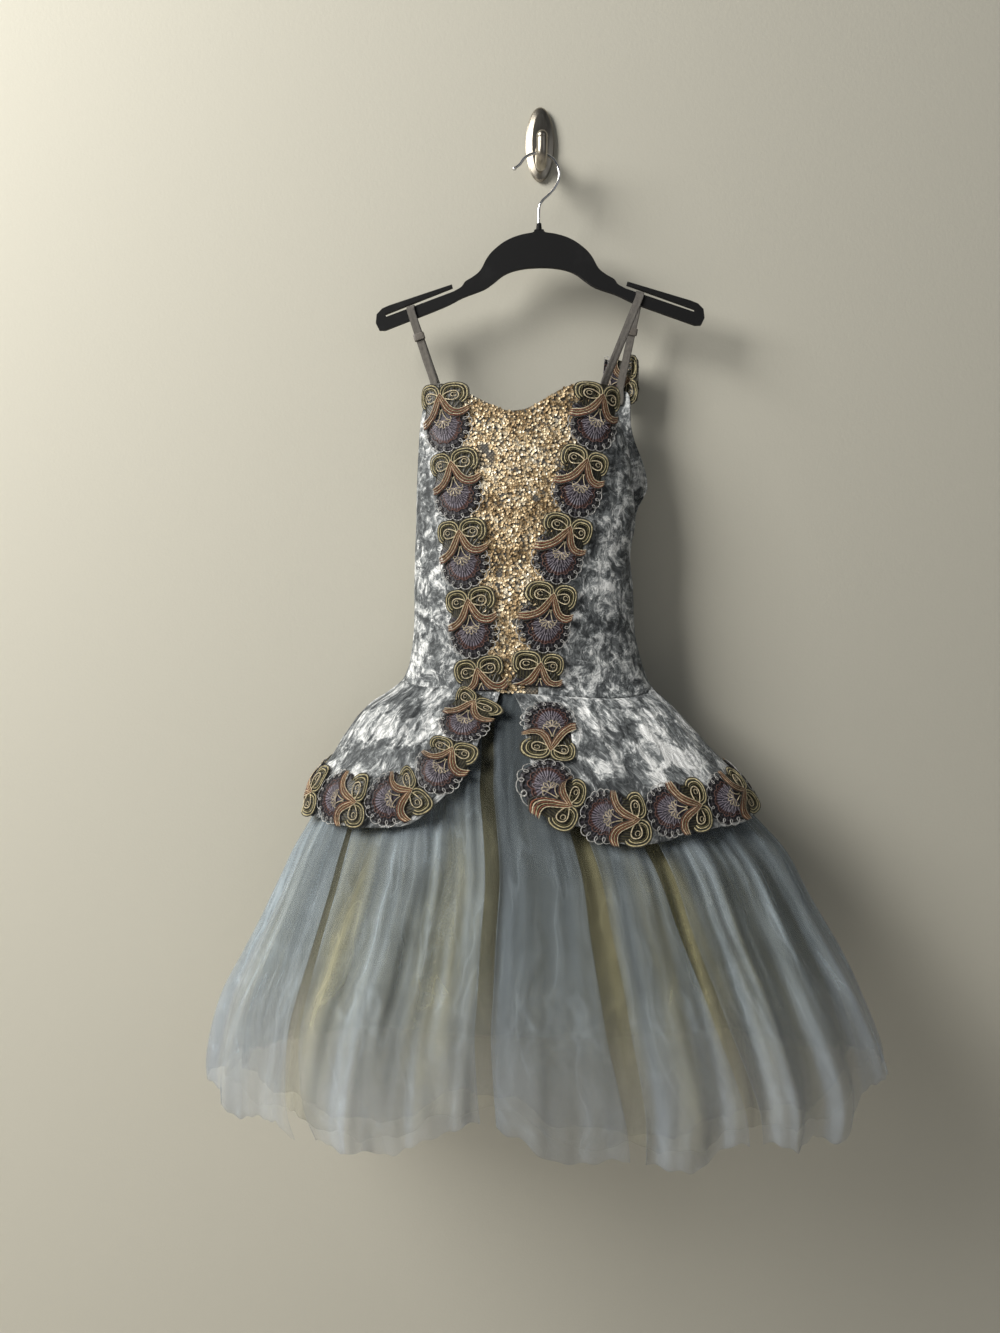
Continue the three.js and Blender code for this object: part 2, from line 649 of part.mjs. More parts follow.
// From inside the front's upper edge, up over the hanger's lower bar and down inside the back's.
function strapRoute({ hand, barX, frontEnd, backEnd }) {
  const inside = -(clothWall + strapTuck + strapWall / 2);
  const barTop = slotStart.z - (Math.abs(barX) - slotStart.x) * Math.tan(radians(barSlope));
  const over = strapWall / 2 + 0.6;
  const half = hangerThickness / 2 + over;
  const turn = radians(hand * barSlope) + hangerTilt;
  const barLean = new THREE.Vector3(Math.cos(turn), 0, Math.sin(turn));
  const endLean = (form, { angle, z }) => {
    const lean = form.point(angle + 2, z).sub(form.point(angle - 2, z)).normalize();
    return lean.x < 0 ? lean.negate() : lean;
  };
  const route = [];
  const add = (point, lean) => route.push({ point, lean });
  const frontLean = endLean(body, frontEnd);
  const backLean = endLean(back, backEnd);
  sewnRises.forEach((rise) => add(body.point(frontEnd.angle, frontEnd.z + rise, inside), frontLean));
  const frontFoot = hangerPoint(barX, barTop - footDrop, hangerPlane - half);
  const backFoot = hangerPoint(barX, barTop - footDrop, hangerPlane + half);
  const between = (from, to, fromLean, toLean, share) => add(
    from.clone().lerp(to, share),
    fromLean.clone().lerp(toLean, Math.min(1, share * 1.3)).normalize(),
  );
  const frontTop = route[2].point;
  [0.33, 0.67].forEach((share) => between(frontTop, frontFoot, frontLean, barLean, share));
  add(frontFoot, barLean);
  for (let k = 0; k <= 6; k += 1) {
    const round = (Math.PI * k) / 6;
    const rise = Math.min(Math.sin(round) * half * 0.7, over) - (k % 6 === 0 ? 1 : 0);
    add(hangerPoint(barX, barTop + rise, hangerPlane - Math.cos(round) * half), barLean);
  }
  add(backFoot, barLean);
  const backTop = back.point(backEnd.angle, backEnd.z + sewnRises[2], inside);
  [0.67, 0.33].forEach((share) => between(backTop, backFoot, backLean, barLean, share));
  [...sewnRises].reverse().forEach((rise) => {
    add(back.point(backEnd.angle, backEnd.z + rise, inside), backLean);
  });
  return route;
}

const strapSizes = {
  left: {
    hand: 1,
    barX: -149,
    frontEnd: { angle: 31, z: -291 },
    backEnd: { angle: 331, z: -293 },
    slider: [3, 4, 0.9],
  },
  right: {
    hand: -1,
    barX: 115,
    frontEnd: { angle: 147, z: -291 },
    backEnd: { angle: 216, z: -293 },
    slider: [14, 15, 0.1],
  },
};

// A small ring round the strap, square to its run, part of the way between two points of its route.
function sliderRing([from, to, share], route) {
  const ringLength = 8;
  const ringWall = 1.5;
  const clear = 0.5;
  const [halfWidth, halfWall] = [strapWidth / 2 + clear, strapWall / 2 + clear];
  const frame = (path, a, b) => path.moveTo(-a, -b).lineTo(a, -b).lineTo(a, b).lineTo(-a, b).closePath();
  const shape = new THREE.Shape();
  frame(shape, halfWidth + ringWall, halfWall + ringWall);
  const hole = new THREE.Path();
  frame(hole, halfWidth, halfWall);
  shape.holes.push(hole);
  const geometry = new THREE.ExtrudeGeometry(shape, { depth: ringLength, bevelEnabled: false });
  geometry.translate(0, 0, -ringLength / 2);
  const run = route[to].point.clone().sub(route[from].point).normalize();
  const width = route[from].lean.clone().lerp(route[to].lean, share);
  width.addScaledVector(run, -width.dot(run)).normalize();
  const matrix = new THREE.Matrix4().makeBasis(width, run.clone().cross(width), run);
  matrix.setPosition(route[from].point.clone().lerp(route[to].point, share));
  return geometry.applyMatrix4(matrix);
}

// ---- hanger and hooks ----

const wasm = await Module();
wasm.setup();

function solidOf(geometry) {
  const plain = geometry.clone();
  plain.deleteAttribute('normal');
  plain.deleteAttribute('uv');
  const merged = mergeVertices(plain, 1e-4);
  return new wasm.Manifold(new wasm.Mesh({
    numProp: 3,
    vertProperties: new Float32Array(merged.attributes.position.array),
    triVerts: new Uint32Array(merged.index.array),
  }));
}

function geometryOf(solid) {
  const mesh = solid.getMesh();
  const geometry = new THREE.BufferGeometry();
  geometry.setAttribute('position', new THREE.Float32BufferAttribute(Array.from(mesh.vertProperties), 3));
  geometry.setIndex(Array.from(mesh.triVerts));
  geometry.computeVertexNormals();
  return geometry;
}

function rod(points, radius, steps, sides) {
  const shape = new THREE.Shape();
  for (let k = 0; k < sides; k += 1) {
    const turn = (2 * Math.PI * k) / sides;
    const [x, y] = [radius * Math.cos(turn), radius * Math.sin(turn)];
    if (k === 0) shape.moveTo(x, y);
    else shape.lineTo(x, y);
  }
  shape.closePath();
  const curve = new THREE.CatmullRomCurve3(points, false, 'centripetal');
  return new THREE.ExtrudeGeometry(shape, { steps, extrudePath: curve, bevelEnabled: false });
}

// Shoulders, prongs and slotted lower bars in one flat piece with eased edges.
function hangerGeometry() {
  const { underside, end, prong, shoulder } = hangerRows;
  const half = [...underside, ...end, ...prong, ...shoulder];
  const rightHalf = half.slice(1, -1).reverse();
  const outline = [
    ...half.map(([x, z]) => new THREE.Vector2(-x, z)),
    ...rightHalf.map(([x, z]) => new THREE.Vector2(x, z)),
  ];
  const bevel = 0.9;
  const geometry = new THREE.ExtrudeGeometry(new THREE.Shape(outline), {
    depth: hangerThickness - 2 * bevel,
    bevelThickness: bevel,
    bevelSize: bevel,
    bevelOffset: -bevel,
    bevelSegments: 1,
    curveSegments: 1,
  });
  geometry.translate(0, -archHeight, -hangerThickness / 2 + bevel);
  return geometry;
}

// The wire: a straight shank, a bow over the wall hook's finger and a small ball at its tip.
const hookBow = [
  [-31, -44.5], [-25, -40], [-20, -33.5], [-13, -29], [-4, -27.6], [6, -29.5], [14.5, -35.5], [19.5, -45],
  [20, -55], [15.5, -65], [8.5, -73], [1, -80], [-2.6, -88], [-3.1, -111.5],
];
const hookBallRadius = 2.4;

function hangerHook() {
  const points = hookBow.map(([x, z]) => new THREE.Vector3(x, hangerPlane, z));
  const ball = new THREE.SphereGeometry(hookBallRadius, 8, 6);
  ball.translate(...points[0].toArray());
  return geometryOf(solidOf(rod(points, wireRadius, 32, 7)).add(solidOf(ball)));
}

// Long oval plate with a finger that curls out and up. Its back is cut off flat at the wall.
const fingerPath = [[-3, -6], [-12, -17], [-24, -30], [-36, -36.8], [-45, -37.8], [-53.5, -31.5], [-56, -14]];
const fingerTip = [0, -56, -13.6];
const plateFlat = 1.6;           // between the plate's front and back bevels
const plateBevel = 2.6;

function wallHook() {
  const plateShape = new THREE.Shape();
  const [a, b] = [plateHalfWidth - plateBevel, plateHalfHeight - plateBevel];
  plateShape.absellipse(0, 0, a, b, 0, 2 * Math.PI);
  const plate = new THREE.ExtrudeGeometry(plateShape, {
    depth: plateFlat,
    bevelThickness: plateBevel,
    bevelSize: plateBevel,
    bevelSegments: 2,
    curveSegments: 9,
  });
  plate.rotateX(Math.PI / 2);
  plate.translate(0, -plateBevel, 0);
  const room = 4 * plateHalfHeight;
  const insideWall = new THREE.BoxGeometry(room, room, room);
  insideWall.translate(0, room / 2, 0);
  const finger = rod(fingerPath.map(([y, z]) => new THREE.Vector3(0, y, z)), fingerRadius, 9, 10);
  const tip = new THREE.SphereGeometry(fingerRadius, 10, 7);
  tip.translate(...fingerTip);
  const whole = solidOf(plate).add(solidOf(finger)).add(solidOf(tip));
  return geometryOf(whole.subtract(solidOf(insideWall)));
}

// ---- the costume ----

const costume = new THREE.Group();

function addPiece(name, geometry, finish) {
  const piece = new THREE.Mesh(geometry, new THREE.MeshStandardMaterial(finish));
  piece.name = name;
  costume.add(piece);
  return piece;
}

const velvet = { color: 0x9a9d9c, roughness: 0.55, metalness: 0 };
const sequins = { color: 0xc6a873, roughness: 0.35, metalness: 0.4 };
const corded = { color: 0x6d5a4e, roughness: 0.6, metalness: 0.1 };
const greyTulle = { color: 0x8b969b, roughness: 0.8, metalness: 0 };
const goldTulle = { color: 0xa49c6e, roughness: 0.8, metalness: 0 };
const elastic = { color: 0x6f6963, roughness: 0.7, metalness: 0 };
const flocked = { color: 0x151517, roughness: 0.95, metalness: 0 };
const chrome = { color: 0xd5d5d5, roughness: 0.15, metalness: 1 };
const nickel = { color: 0xa39a8c, roughness: 0.35, metalness: 1 };

addPiece('wall_hook', wallHook(), nickel);
addPiece('hanger_hook', hangerHook(), chrome);

const hanger = addPiece('hanger_body', hangerGeometry(), flocked);
hanger.rotation.set(Math.PI / 2, 0, hangerTilt, 'YXZ');
hanger.position.set(hangerCentre, hangerPlane, archHeight);

for (const sideName of ['left', 'right']) {
  const sizes = strapSizes[sideName];
  const route = strapRoute(sizes);
  addPiece(`strap_${sideName}`, ribbon(route, strapWidth, strapWall), elastic);
  addPiece(`slider_${sideName}`, sliderRing(sizes.slider, route), elastic);
}

const sideEdge = (angle) => () => angle;
const bodicePieces = [
  {
    name: 'centre_front_panel', form: body, edges: [seamEdge(leftSeamRows, 1), seamEdge(rightSeamRows, -1)],
    grid: [13, 12], finish: sequins,
  },
  {
    name: 'side_front_left', form: body, edges: [sideEdge(seamTurn), seamEdge(leftSeamRows, -1)],
    grid: [10, 12], finish: velvet,
  },
  {
    name: 'side_front_right', form: body, edges: [seamEdge(rightSeamRows, 1), sideEdge(180 - seamTurn)],
    grid: [10, 12], finish: velvet,
  },
  {
    name: 'back_panel', form: back, edges: [sideEdge(180 + seamTurn), sideEdge(360 - seamTurn)],
    grid: [22, 10], finish: velvet,
  },
];
bodicePieces.forEach(({ name, form, edges, grid, finish }) => {
  addPiece(name, bodicePanel(form, ...edges, ...grid), finish);
});

addPiece('seam_trim_left', seamTrim(leftSeamRows), corded);
addPiece('seam_trim_right', seamTrim(rightSeamRows), corded);

// One motif on the right back strap point, its scrolls to the right.
const backMotifPath = pathOver(back, [188, 205, 232].map((angle) => ({ angle, z: -276 })));
const backMotif = { motifs: 1, pitch: 60, lift: seamTrimLift };
addPiece('back_motif_right', appliqueStrip(back, backMotifPath, backMotif), corded);

for (const sideName of ['left', 'right']) {
  addPiece(`peplum_${sideName}`, peplumHalf(sideName), velvet);
  addPiece(`peplum_trim_${sideName}`, peplumTrim(sideName), corded);
}

overlayStrips.forEach((strip) => addPiece(strip.name, overlayStrip(strip), greyTulle));
addPiece('gold_layer', skirtTube(skirtLayers.gold, 50), goldTulle);
addPiece('under_layer', skirtTube(skirtLayers.under, 30), greyTulle);

export default costume;
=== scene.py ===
import math
import random

import bmesh
import bpy
import numpy as np
from mathutils import Matrix, Vector


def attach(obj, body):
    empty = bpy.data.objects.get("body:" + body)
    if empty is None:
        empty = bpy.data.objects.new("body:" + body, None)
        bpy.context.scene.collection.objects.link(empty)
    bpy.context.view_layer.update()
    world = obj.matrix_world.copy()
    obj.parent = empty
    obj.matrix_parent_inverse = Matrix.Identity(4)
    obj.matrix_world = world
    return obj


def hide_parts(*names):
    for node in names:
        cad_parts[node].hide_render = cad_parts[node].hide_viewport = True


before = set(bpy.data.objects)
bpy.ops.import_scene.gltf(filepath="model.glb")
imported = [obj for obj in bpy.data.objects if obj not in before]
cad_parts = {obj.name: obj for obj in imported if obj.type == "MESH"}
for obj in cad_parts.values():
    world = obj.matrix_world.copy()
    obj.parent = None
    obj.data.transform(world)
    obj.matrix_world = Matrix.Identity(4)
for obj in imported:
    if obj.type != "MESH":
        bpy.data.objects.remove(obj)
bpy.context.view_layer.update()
print("frame loaded:", len(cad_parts), "nodes")

mm = 0.001


# Numbers along tables and over forms, in millimetres.

def along(rows, key, name, place):
    keys = np.array(rows[key], float)
    values = np.array(rows[name], float)
    if keys[-1] < keys[0]:
        keys, values = keys[::-1], values[::-1]
    place = np.clip(np.asarray(place, float), keys[0], keys[-1])
    last = len(keys) - 1
    before = np.maximum(np.arange(last + 1) - 1, 0)
    after = np.minimum(np.arange(last + 1) + 1, last)
    slopes = (values[after] - values[before]) / (keys[after] - keys[before])
    i = np.clip(np.searchsorted(keys, place, side="right") - 1, 0, last - 1)
    span = keys[i + 1] - keys[i]
    t = (place - keys[i]) / span
    h = t * t * (3 - 2 * t)
    bend = slopes[i] * span * t * (1 - t) ** 2 - slopes[i + 1] * span * t * t * (1 - t)
    return values[i] * (1 - h) + values[i + 1] * h + bend


def power(value, exponent):
    return np.sign(value) * np.abs(value) ** exponent


def ramp(start, end, value):
    t = np.clip((value - start) / (end - start), 0, 1)
    return t * t * (3 - 2 * t)


def mix(a, b, t):
    return a + (b - a) * t


def unit(vectors):
    return vectors / np.maximum(np.linalg.norm(vectors, axis=-1, keepdims=True), 1e-9)


# The sections are wide and shallow: evenTurn grows with the distance round them, turnOf undoes it.
squash = 0.25


def evenTurn(turn):
    return turn - squash * np.sin(2 * turn)


def turnOf(even):
    turn = even
    for _ in range(12):
        turn = even + squash * np.sin(2 * turn)
    return turn


def mixAngles(start, end, share):
    even = mix(evenTurn(np.radians(start)), evenTurn(np.radians(end)), share)
    return np.degrees(turnOf(even))


# Outlines and seams by height or angle, in millimetres and degrees.

clothWall = 1.6
layerGap = 0.9
seamGap = 0.3
waistSeamDrop = 5
peplumPuff = 7
seamHeight = -640
hemHeight = -1085
frontRoundness = 2.3
backRoundness = 2.8

bodyRows = {  # outside of bodice and peplum
    "z": [-280, -330, -362, -407, -445, -483, -521, -572, -607, -621, -632, -643, -655, -668, -690,
          -714, -738, -775, -800],
    "left": [-139, -143.5, -144, -145, -146, -147.5, -148.5, -149.5, -154, -158.5, -165, -179, -198,
             -211, -226, -240, -257, -267, -273],
    "right": [90, 96, 104, 109, 111.5, 106, 109.5, 112, 120, 124.5, 129, 138, 151, 163, 181, 201, 224,
              247, 256],
    "side": [-40, -42, -43, -45, -46, -46, -47, -48, -49, -50, -51, -55, -62, -69, -78, -86, -92, -97,
             -101],
    "front": [-70, -77, -81, -86, -89, -92, -96, -99, -100, -101, -103, -109, -118, -128, -143, -159,
              -173, -184, -193],
    "back": [-12, -10, -10, -9, -9, -9, -9, -9, -9, -9, -9, -9, -9, -9, -9, -9, -9, -9, -9],
}
skirtRows = {  # outside of the skirt below the peplum
    "z": [-824, -876, -932, -970, -1012, -1050, -1100],
    "left": [-283, -306, -333, -352, -364, -369, -362],
    "right": [280, 306, 337, 356, 374, 383, 374],
    "side": [-108, -116, -124, -130, -136, -140, -142],
    "front": [-204, -226, -247, -262, -277, -288, -296],
    "back": [-17, -18, -18, -18, -18, -18, -18],
}
neckRows = {  # upper edge of the bodice by angle: 0 left side, 90 front, 180 right side, 270 back
    "angle": [0, 3, 9, 17, 25, 32, 42, 57, 67, 76, 84, 91, 97, 103, 110, 120, 134, 146, 157, 164, 172,
              177, 180, 187, 194, 201, 207, 216, 226, 243, 270, 297, 314, 324, 333, 339, 346, 353, 360],
    "z": [-430, -405, -365, -325, -302, -291, -288, -296, -304, -313, -320, -319, -312, -305, -296,
          -289, -286.5, -291, -305, -328, -368, -405, -430, -392, -345, -303, -291, -291, -312, -365,
          -395, -365, -312, -291, -291, -303, -345, -392, -430],
}
backShiftRows = {"z": [-441, -430, -402, -345, -290], "x": [0, 3, 19, 14, 23]}
waistRows = {
    "angle": [0, 40, 80, 95, 125, 150, 180, 270, 360],
    "z": [-630, -634, -638, -641, -646, -643, -634, -636, -630],
}
leftSeamRows = {
    "z": [-280, -306, -375, -452, -529, -603, -650],
    "x": [-116, -115, -103, -93.5, -84, -75, -69],
}
rightSeamRows = {
    "z": [-280, -306, -380, -454, -530, -607, -650],
    "x": [71.5, 68.5, 50, 31.5, 13, -1, -5],
}
hemRows = {
    "angle": [-30, 0, 14, 25, 34, 47, 54, 69, 75, 86, 90, 99, 108, 117, 131, 141, 150, 159, 170, 180,
              210, 240, 270, 300, 330],
    "z": [-1070, -1068, -1063, -1062, -1068, -1070, -1080, -1075, -1053, -1052, -1079, -1083, -1091,
          -1072, -1079, -1081, -1055, -1041, -1044, -1050, -1074, -1070, -1084, -1068, -1070],
}


def wrap(angle):
    return np.mod(angle, 360)


def neck(angle):
    return along(neckRows, "angle", "z", np.where(angle == 360, 0, wrap(angle)))


def waist(angle):
    return along(waistRows, "angle", "z", wrap(angle))


def hemOf(angle):
    return along(hemRows, "angle", "z", wrap(angle + 30) - 30)


# Hollow forms: a point at an angle and a height, lifted off the outer face.

class HollowForm:
    def __init__(self, rows, fold=None, shift=None):
        self.rows, self.fold, self.shift = rows, fold, shift

    def row(self, name, z):
        return along(self.rows, "z", name, z)

    def section(self, angle, z):
        turn = np.radians(angle)
        cosine, sine = np.cos(turn), np.sin(turn)
        left, right, side = self.row("left", z), self.row("right", z), self.row("side", z)
        isFront = sine > 0
        exponent = np.where(isFront, 2 / frontRoundness, 2 / backRoundness)
        depth = np.where(isFront, side - self.row("front", z), self.row("back", z) - side)
        moved = self.shift(angle, z) if self.shift else 0
        x = (left + right) / 2 + moved - (right - left) / 2 * power(cosine, exponent)
        y = side - depth * power(sine, exponent)
        return np.stack([x, y, z + 0 * x], -1)

    def folded(self, angle, z):
        place = self.section(angle, z)
        if self.fold:
            run = unit(self.section(angle + 0.5, z) - self.section(angle - 0.5, z))
            out = np.stack([run[..., 1], -run[..., 0], 0 * run[..., 0]], -1)
            place = place + out * self.fold(angle, z)[..., None]
        return place

    def point(self, angle, z, lift=0.0):
        angle, z = np.broadcast_arrays(np.asarray(angle, float), np.asarray(z, float))
        byAngle = self.folded(angle + 0.5, z) - self.folded(angle - 0.5, z)
        byHeight = self.folded(angle, z + 0.5) - self.folded(angle, z - 0.5)
        normal = unit(np.cross(byAngle, byHeight))
        return self.folded(angle, z) + normal * np.asarray(lift, float)[..., None]

    def angleAt(self, x, z):
        left, right = self.row("left", z), self.row("right", z)
        share = ((left + right) / 2 - x) / ((right - left) / 2)
        return np.degrees(np.arccos(power(share, frontRoundness / 2)))


peplumFolds = {
    "angle": [66, 42, 12, -16, -44, -70, 97, 110, 128, 150, 176, 203, 232, 257],
    "spread": [7, 11, 9, 9, 10, 9, 5, 6, 9, 9, 9, 10, 10, 8],
    "depth": [3, 7, 6, 5, 4, 3, 4, 9, 7, 5, 6, 4, 3, 3],
}
peplumGathers = {  # small gathers that run out a third of the way down
    "angle": [70, 63, 57, 50, 45, 36, 28, 19, 4, -9, -27, -52, 88, 93, 101, 106, 114, 119, 124, 133,
              141, 158, 167, 188, 215, 245],
    "depth": [1.4, 2.2, 1.6, 2.6, 1.3, 2.1, 1.5, 2.2, 1.7, 1.5, 2, 1.6, 1.6, 2, 2.4, 2.6, 2.8, 1.8,
              2.4, 1.7, 2.1, 1.6, 2, 1.6, 1.8, 1.5],
}


def apart(angle, centre):
    return np.mod(angle - centre + 540, 360) - 180


def peplumFold(angle, z):
    depth = 0
    for place, spread, height in zip(*peplumFolds.values()):
        depth = depth + height * np.exp(-((apart(angle, place) / spread) ** 2))
    return depth * ramp(-650, -760, z)


def peplumDrape(angle, z):
    near = 0
    for place, height in zip(*peplumGathers.values()):
        lean = 2.5 * np.sin(place * 1.7) * ramp(-640, -720, z)
        near = near + height * np.exp(-((apart(angle, place + lean) / 1.9) ** 2))
    crush = 0.55 * np.sin(angle * 1.13 + z * 0.11) * np.sin(z * 0.17 - angle * 0.41)
    crush = crush + 0.35 * np.sin(angle * 2.3 - z * 0.23 + 1.3)
    return peplumFold(angle, z) + near * (1 - ramp(-668, -748, z)) - 0.8 + crush * ramp(-640, -660, z)


def bodiceCrush(angle, z):
    shallow = 0.35 * np.sin(angle * 0.9 + z * 0.07) * np.sin(z * 0.13 + angle * 0.3)
    return shallow - 0.2


def backShift(angle, z):  # most of all at its right side
    return (0.62 - 0.38 * np.cos(np.radians(angle))) * along(backShiftRows, "z", "x", z)


body = HollowForm(bodyRows, peplumFold)
draped = HollowForm(bodyRows, peplumDrape)
bodice = HollowForm(bodyRows, bodiceCrush)
back = HollowForm(bodyRows, bodiceCrush, backShift)

kept = [i for i, z in enumerate(bodyRows["z"]) if -790 < z < -600]
wholeSkirtRows = {name: [bodyRows[name][i] for i in kept] + skirtRows[name] for name in skirtRows}


# Shader tools: sums on sockets, and a finish that they feed.

class Socket:  # a shader socket that takes part in sums
    def __init__(self, finish, socket):
        self.finish, self.socket = finish, socket

    def maths(self, operation, *values):
        return self.finish.node("Math", {"operation": operation}, dict(enumerate(values)))

    def __add__(self, other): return self.maths("ADD", self, other)
    def __radd__(self, other): return self.maths("ADD", other, self)
    def __sub__(self, other): return self.maths("SUBTRACT", self, other)
    def __rsub__(self, other): return self.maths("SUBTRACT", other, self)
    def __mul__(self, other): return self.maths("MULTIPLY", self, other)
    def __rmul__(self, other): return self.maths("MULTIPLY", other, self)
    def __pow__(self, other): return self.maths("POWER", self, other)
    def __abs__(self): return self.maths("ABSOLUTE", self)
    def sine(self): return self.maths("SINE", self)
    def atan2(self, other): return self.maths("ARCTAN2", self, other)
    def least(self, other): return self.maths("MINIMUM", self, other)
    def most(self, other): return self.maths("MAXIMUM", self, other)

    def ramp(self, low, high, bottom=0.0, top=1.0):
        values = {"Value": self, "From Min": low, "From Max": high, "To Min": bottom, "To Max": top}
        return self.finish.node("MapRange", {"interpolation_type": "SMOOTHSTEP"}, values)


class Finish:  # one material, with a Principled shader at its end
    def __init__(self, name, **constants):
        self.material = bpy.data.materials.new(name)
        self.material.use_nodes = True
        self.tree = self.material.node_tree
        self.tree.nodes.clear()
        self.shader = self.tree.nodes.new("ShaderNodeBsdfPrincipled")
        output = self.tree.nodes.new("ShaderNodeOutputMaterial")
        self.tree.links.new(self.shader.outputs[0], output.inputs["Surface"])
        for name, value in constants.items():
            self.put(self.shader, name, value)

    def put(self, node, name, value):
        socket = node.inputs[name]
        if isinstance(value, Socket):
            self.tree.links.new(value.socket, socket)
        elif isinstance(value, (tuple, list)) and len(value) == 3 and socket.type == "RGBA":
            socket.default_value = (*value, 1)
        else:
            socket.default_value = value

    def node(self, kind, settings=None, values=None, out=0):
        node = self.tree.nodes.new("ShaderNode" + kind)
        for name, value in (settings or {}).items():
            if name == "stops":
                elements = node.color_ramp.elements
                while len(elements) < len(value):
                    elements.new(1)
                for element, (position, colour) in zip(elements, value):
                    element.position, element.color = position, (*colour, 1)
            else:
                setattr(node, name, value)
        for name, value in (values or {}).items():
            self.put(node, name, value)
        return Socket(self, node.outputs[out])

    def place(self):
        return self.node("TexCoord", out="Object")

    def cloth(self):
        return self.node("UVMap", {"uv_map": "cloth"})

    def parts(self, vector):
        split = self.node("SeparateXYZ", values={0: vector})
        outputs = split.socket.node.outputs
        return [Socket(self, outputs[i]) for i in range(3)]

    def vector(self, x=0.0, y=0.0, z=0.0):
        return self.node("CombineXYZ", values={0: x, 1: y, 2: z})

    def noise(self, vector, scale, detail=3.0, roughness=0.5, distortion=0.0):
        values = {"Vector": vector, "Scale": scale, "Detail": detail, "Roughness": roughness,
                  "Distortion": distortion}
        return self.node("TexNoise", values=values)

    def blend(self, share, a, b, way="MIX"):
        settings = {"data_type": "RGBA", "blend_type": way, "clamp_factor": True}
        node = self.node("Mix", settings, out=2)
        self.put(node.socket.node, 0, share)
        self.put(node.socket.node, 6, a)
        self.put(node.socket.node, 7, b)
        return node

    def ramped(self, value, *stops):
        return self.node("ValToRGB", {"stops": stops}, {0: value})

    def bump(self, height, distance, strength=1.0, under=None):
        values = {"Height": height, "Distance": distance, "Strength": strength}
        if under:
            values["Normal"] = under
        return self.node("Bump", values=values)

    def attribute(self, name, out="Fac"):
        return self.node("Attribute", {"attribute_name": name}, out=out)

    def finish(self, **links):
        for name, value in links.items():
            self.put(self.shader, name.replace("_", " "), value)
        return self.material


# Finishes, each made by one function.

def crushedVelvet(name, isDraped):
    f = Finish(name, **{"Sheen Weight": 0.3, "Sheen Roughness": 0.35, "Sheen Tint": (0.9, 0.94, 0.97),
                        "Specular IOR Level": 0.3})
    x, y, z = f.parts(f.place())
    u, v, _ = f.parts(f.cloth())
    a, b, c = (u, v * 1.15, 0.0) if isDraped else (x * 1.15, y, z * 0.85)
    warp = f.noise(f.vector(a, b, c), 30, 2.0) - 0.5
    bent = f.vector(a + warp * 0.022, b + warp * 0.022, c)
    patch = f.noise(bent, 26, 9.0, 0.66, 0.5).ramp(0.43, 0.58) if isDraped else (
        f.noise(bent, 46, 9.0, 0.7, 0.6).ramp(0.43, 0.58))
    crush = f.noise(bent, 110, 5.0, 0.68, 0.9).ramp(0.38, 0.62)
    vein = abs(f.noise(bent, 42, 3.0, 0.55, 0.8) - 0.5).ramp(0.0, 0.022, 1.0, 0.0)
    nap = f.noise(f.place(), 800, 2.0)
    share = 0.5 if isDraped else 0.46
    # The last term adds the listed painted highlights and painted shade to the pile.
    pile = patch * share + crush * (0.84 - share) + vein * 0.22 + nap * 0.08 - 0.02 + f.attribute("glow")
    colour = f.ramped(pile, (0.0, (0.035, 0.039, 0.042)), (0.28, (0.10, 0.108, 0.112)),
                      (0.48, (0.215, 0.23, 0.235)), (0.68, (0.50, 0.515, 0.515)), (0.92, (0.95, 0.955, 0.94)))
    normal = f.bump(pile, 0.0016, 0.7, f.bump(nap, 0.0003, 0.4))
    return f.finish(Base_Color=colour, Roughness=0.6 - pile * 0.2, Normal=normal)


def sequinFinish():
    f = Finish("sequins", Metallic=0.35)
    shade = f.attribute("shade")
    patch = f.noise(f.place(), 30, 4.0, 0.6)
    # Each sequin's tone, set at random from dark brown to near white, is partly its own tone and partly
    # painted glint and painted shade.
    tone = shade * 0.7 + patch.ramp(0.36, 0.62) * 0.45 - 0.1
    colour = f.ramped(tone, (0.0, (0.11, 0.068, 0.03)), (0.28, (0.44, 0.305, 0.155)),
                      (0.6, (0.84, 0.67, 0.42)), (1.0, (1.0, 0.93, 0.76)))
    return f.finish(Base_Color=colour, Roughness=0.46 + (1 - shade) * 0.22)


def sequinGround():
    f = Finish("sequinGround")
    place = f.place()
    x, y, z = f.parts(place)
    net = ((x * 1500).sine() * (z * 1500).sine()).ramp(-0.2, 0.5)
    patch = f.noise(place, 60, 3.0)
    colour = f.blend(net, (0.07, 0.058, 0.042), (0.24, 0.20, 0.145))
    colour = f.blend(patch.ramp(0.45, 0.6), colour, (0.10, 0.095, 0.085))
    return f.finish(Base_Color=colour, Roughness=0.7, Normal=f.bump(net, 0.0006))


def embroideryCord():
    f = Finish("embroideryCord", **{"Sheen Weight": 0.1})
    thread = f.attribute("thread", "Color")
    u, v, _ = f.parts(f.cloth())
    twistAndHighlight = (u * 700 + v * 6.28).sine()
    worn = f.noise(f.place(), 420, 3.0)
    colour = f.blend(worn.ramp(0.4, 0.72, 0.0, 0.6), thread, (0.012, 0.010, 0.008))
    # Painted highlight: a cream streak along each turn of the twist; the twist also gives the bump.
    colour = f.blend(twistAndHighlight.ramp(0.3, 1.0, 0.0, 0.12), colour, (0.9, 0.84, 0.7))
    return f.finish(Base_Color=colour, Roughness=0.42, Metallic=0.3, Normal=f.bump(twistAndHighlight, 0.0003, 0.6))


